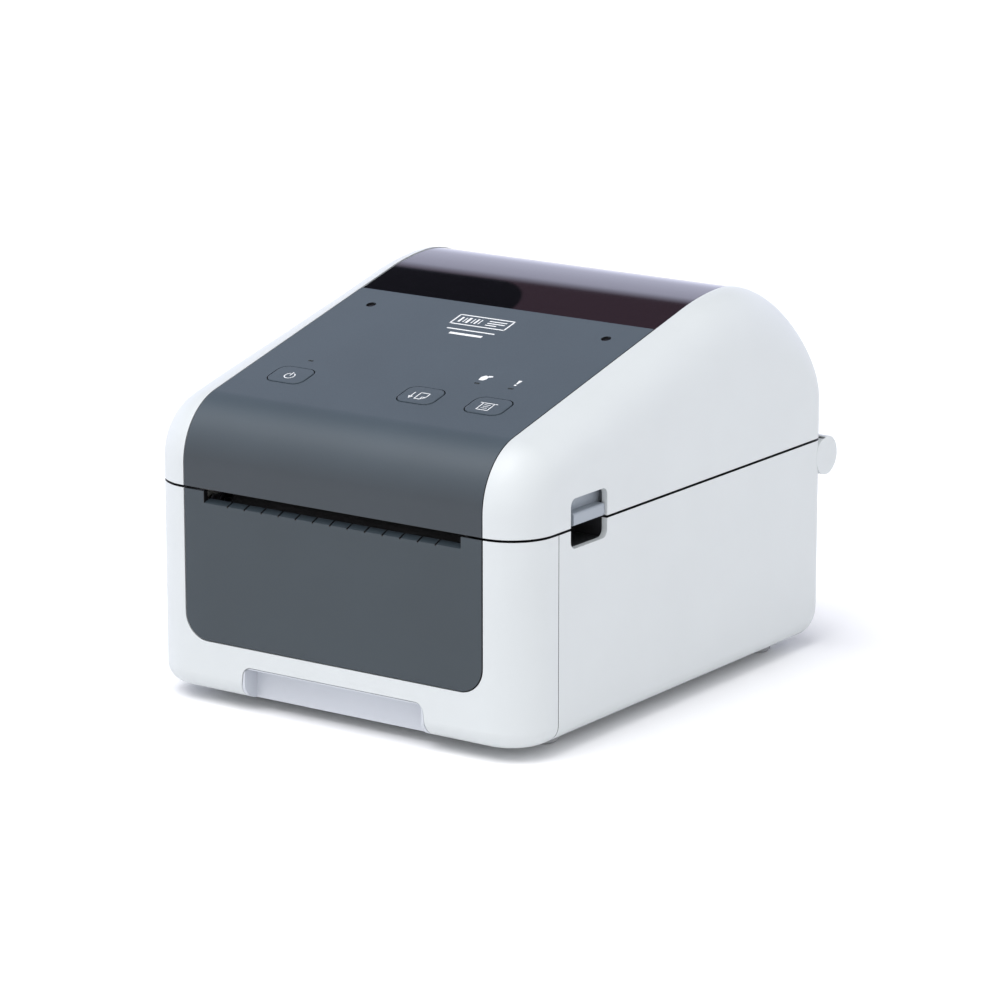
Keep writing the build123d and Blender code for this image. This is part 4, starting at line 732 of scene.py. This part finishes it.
def make_latch_plates():
    """Shallow plates that close the notches above the finger tabs."""
    outline = rounded_rectangle(NOTCH_FRONT - PLATE_OVERLAP, NOTCH_REAR + PLATE_REACH,
                                PLATE_LOW, PLATE_HIGH, PLATE_CORNER)
    for side, label in ((-1, "left"), (1, "right")):
        low, high = sorted((side * PLATE_INNER, side * PLATE_OUTER))
        plate = prism_x(f"{label}_latch_plate", outline, low, high)
        groove_y = NOTCH_REAR + GROOVE_BEHIND
        groove_x = sorted((side * (PLATE_OUTER - PLATE_GROOVE), side * (PLATE_OUTER + MM)))
        cut(plate, box_object("groove", (groove_x[0], groove_y, PLATE_LOW - MM),
                              (groove_x[1], groove_y + PLATE_GROOVE, PLATE_HIGH + MM)))
        bevel_edges(plate, 0.2 * MM, angle=50)
        smooth_by_angle(plate, angle=32)
        place(plate, LATCH_GREY, "latch", "latch_grey")


make_latch_plates()


# ---------------------------------------------------------------- printed marks
MARK_LIFT = 0.02 * MM      # ink above the face that it is printed on
KEY_STANDS = 0.2 * MM      # faces of the keys above the slope
KEY_STROKE = 0.42          # line width in millimetres


class Marks:
    """Collects flat white line work on the slope, in millimetres, and makes one piece of it."""

    def __init__(self, height):
        self.height = height + MARK_LIFT
        self.verts = []
        self.faces = []

    def patch(self, points):
        """One filled polygon of (x, s) points."""
        first = len(self.verts)
        self.verts += [on_slope(x * MM, s * MM, self.height) for x, s in points]
        self.faces.append(tuple(range(first, first + len(points))))

    def line(self, x1, s1, x2, s2, width):
        """A straight stroke with square ends."""
        run = hypot(x2 - x1, s2 - s1)
        ux, us = (x2 - x1) / run, (s2 - s1) / run
        half = width / 2
        x1, s1, x2, s2 = x1 - ux * half, s1 - us * half, x2 + ux * half, s2 + us * half
        nx, ns = -us * half, ux * half
        self.patch([(x1 + nx, s1 + ns), (x2 + nx, s2 + ns), (x2 - nx, s2 - ns), (x1 - nx, s1 - ns)])

    def path(self, points, width):
        """Strokes from point to point."""
        for (x1, s1), (x2, s2) in zip(points, points[1:]):
            self.line(x1, s1, x2, s2, width)

    def ring(self, x, s, radius, width, first, last, steps=40):
        """Part of a circle's outline."""
        turns = [radians(mix(first, last, i / steps)) for i in range(steps + 1)]
        inner = [(x + (radius - width / 2) * cos(t), s + (radius - width / 2) * sin(t)) for t in turns]
        outer = [(x + (radius + width / 2) * cos(t), s + (radius + width / 2) * sin(t)) for t in turns]
        for i in range(steps):
            self.patch([outer[i], outer[i + 1], inner[i + 1], inner[i]])

    def finish(self, name, body):
        """Makes the piece, which rides on a body."""
        obj = new_mesh_object(name, self.verts, self.faces)
        place(obj, INK, body, "light_grey")


def make_key_marks():
    """Line icons on the three keys."""
    power = Marks(KEY_STANDS)
    power.ring(-48.4, 19.2, 2.15, KEY_STROKE, first=112, last=428)
    power.line(-48.4, 19.6, -48.4, 22.0, KEY_STROKE)
    power.finish("power_mark", "power_key")
    feed = Marks(KEY_STANDS)
    feed.line(10.6, 21.6, 10.6, 17.6, KEY_STROKE)
    feed.patch([(9.5, 18.6), (10.6, 16.6), (11.7, 18.6)])
    sheet_edge = [(13.2, 17.4), (13.2, 22.0), (17.4, 22.0), (17.4, 18.8), (15.6, 17.0), (13.2, 17.0)]
    feed.path(sheet_edge, KEY_STROKE)
    feed.path([(15.6, 17.2), (15.6, 18.8), (17.2, 18.8)], KEY_STROKE)
    feed.finish("feed_mark", "feed_key")
    sheet = Marks(KEY_STANDS)
    sheet.line(41.4, 21.9, 48.9, 21.9, KEY_STROKE)
    sheet.path([(42.6, 21.9), (42.6, 16.4), (47.7, 16.4), (47.7, 21.9)], KEY_STROKE)
    for s in (20.5, 19.2, 17.9):
        sheet.line(43.9, s, 46.4, s, 0.32)
    sheet.finish("print_mark", "print_key")


def make_panel_marks():
    """Icons above the lights, and a plain label pictogram in the middle of the panel."""
    marks = Marks(0.0)
    marks.patch([(28.3, 38.9), (30.3, 38.9), (31.3, 40.4), (30.7, 42.6), (29.0, 43.0), (27.9, 41.2)])
    marks.patch([(30.9, 41.6), (32.6, 42.4), (32.4, 43.3), (30.4, 43.1)])
    marks.patch([(44.9, 38.6), (45.9, 38.6), (45.9, 39.5), (44.9, 39.5)])
    marks.patch([(45.1, 40.1), (45.7, 40.1), (46.2, 43.0), (44.6, 43.0)])
    marks.path([(-14.0, 80.5), (-14.0, 88.5), (12.0, 88.5), (12.0, 80.5), (-14.0, 80.5)], 0.7)
    for x, width in ((-11.3, 1.0), (-9.3, 0.5), (-7.6, 1.2), (-5.4, 0.5), (-3.7, 0.9), (-2.0, 0.5)):
        marks.line(x, 82.8, x, 86.2, width)
    marks.line(1.8, 86.2, 9.4, 86.2, 0.7)
    marks.line(1.8, 84.4, 9.4, 84.4, 0.7)
    marks.line(1.8, 82.7, 6.4, 82.7, 0.7)
    marks.line(-12.0, 76.2, 10.0, 76.2, 0.8)
    marks.line(-8.0, 72.6, 6.0, 72.6, 1.6)
    marks.finish("panel_marks", "cover")


make_key_marks()
make_panel_marks()


# ---------------------------------------------------------------- floor, lights and camera
FLOOR_HALF = 12.0          # metres
CURTAIN_RISE = (0.46, 0.53)            # upward part of the directions where the curtain begins
GLOW_SIDE = (-0.68, 0.73, 0)           # towards the rear left
GLOW_RISE = (0.15, 0.4)                # part along GLOW_SIDE where the glow and the curtain begin


def make_floor():
    """Large pale floor."""
    half = FLOOR_HALF
    corners = [(-half, -half, 0), (half, -half, 0), (half, half, 0), (-half, half, 0)]
    floor = new_mesh_object("floor", corners, [(0, 1, 2, 3)])
    pale = (0.93, 0.93, 0.935)
    paint(floor, moulded("floor_paint", pale, 0.75, grain=300, relief=0.004, variation=0.004))


def make_world(bright, glow, dark, strength):
    """Bright studio, with a lilac glow low behind the left side and a dark curtain above it."""
    world = bpy.data.worlds.new("studio")
    world.use_nodes = True
    tree = world.node_tree
    background = tree.nodes["Background"]
    coords = tree.nodes.new("ShaderNodeTexCoord")
    height = axis_outputs(tree, coords.outputs["Generated"])["Z"]
    above = ramp_from(tree, height, *CURTAIN_RISE, 0, 1)
    towards = tree.nodes.new("ShaderNodeVectorMath")
    towards.operation = "DOT_PRODUCT"
    towards.inputs[1].default_value = GLOW_SIDE
    tree.links.new(coords.outputs["Generated"], towards.inputs[0])
    behind = ramp_from(tree, towards.outputs["Value"], *GLOW_RISE, 0, 1)
    low_glow = tint_between(tree, behind, bright, glow)
    curtain = maths(tree, "MULTIPLY", above, behind)
    surroundings = tint_between(tree, curtain, bright, dark)
    tree.links.new(low_glow, surroundings.node.inputs["A"])
    tree.links.new(surroundings, background.inputs["Color"])
    background.inputs["Strength"].default_value = strength
    bpy.context.scene.world = world


def add_sun(name, position, strength, angle):
    """Very soft distant light that reaches the floor evenly."""
    light = bpy.data.lights.new(name, "SUN")
    light.energy = strength
    light.angle = radians(angle)
    lamp = bpy.data.objects.new(name, light)
    lamp.rotation_euler = Vector(position).to_track_quat("Z", "Y").to_euler()
    bpy.context.scene.collection.objects.link(lamp)


CAMERA_AZIMUTH = 35.03
CAMERA_ELEVATION = 14.17
CAMERA_DISTANCE = 1.8474
CAMERA_LENS = 164.74
CAMERA_RIGHT = 0.41 * MM    # sideways and upwards offset of the line of sight
CAMERA_UP = 66.45 * MM


def make_camera():
    """Camera in front and to the right of the printer, a little above it."""
    azimuth = radians(CAMERA_AZIMUTH)
    elevation = radians(CAMERA_ELEVATION)
    back = Vector((sin(azimuth) * cos(elevation), -cos(azimuth) * cos(elevation), sin(elevation)))
    right = Vector((cos(azimuth), sin(azimuth), 0))
    up = back.cross(right)
    camera_data = bpy.data.cameras.new("camera")
    camera_data.lens = CAMERA_LENS
    camera_data.sensor_width = 36
    camera = bpy.data.objects.new("camera", camera_data)
    turn = Matrix((right, up, back)).transposed().to_4x4()
    position = back * CAMERA_DISTANCE + right * CAMERA_RIGHT + up * CAMERA_UP
    camera.matrix_world = Matrix.Translation(position) @ turn
    bpy.context.scene.collection.objects.link(camera)
    bpy.context.scene.camera = camera


make_floor()
make_world((1.0, 1.0, 1.02), (1.28, 1.33, 1.62), (0.03, 0.03, 0.04), 1.0)
add_sun("key_light", (-0.18, -0.5, 1.3), 1.9, 50)
make_camera()
bpy.context.scene.view_settings.view_transform = "Standard"
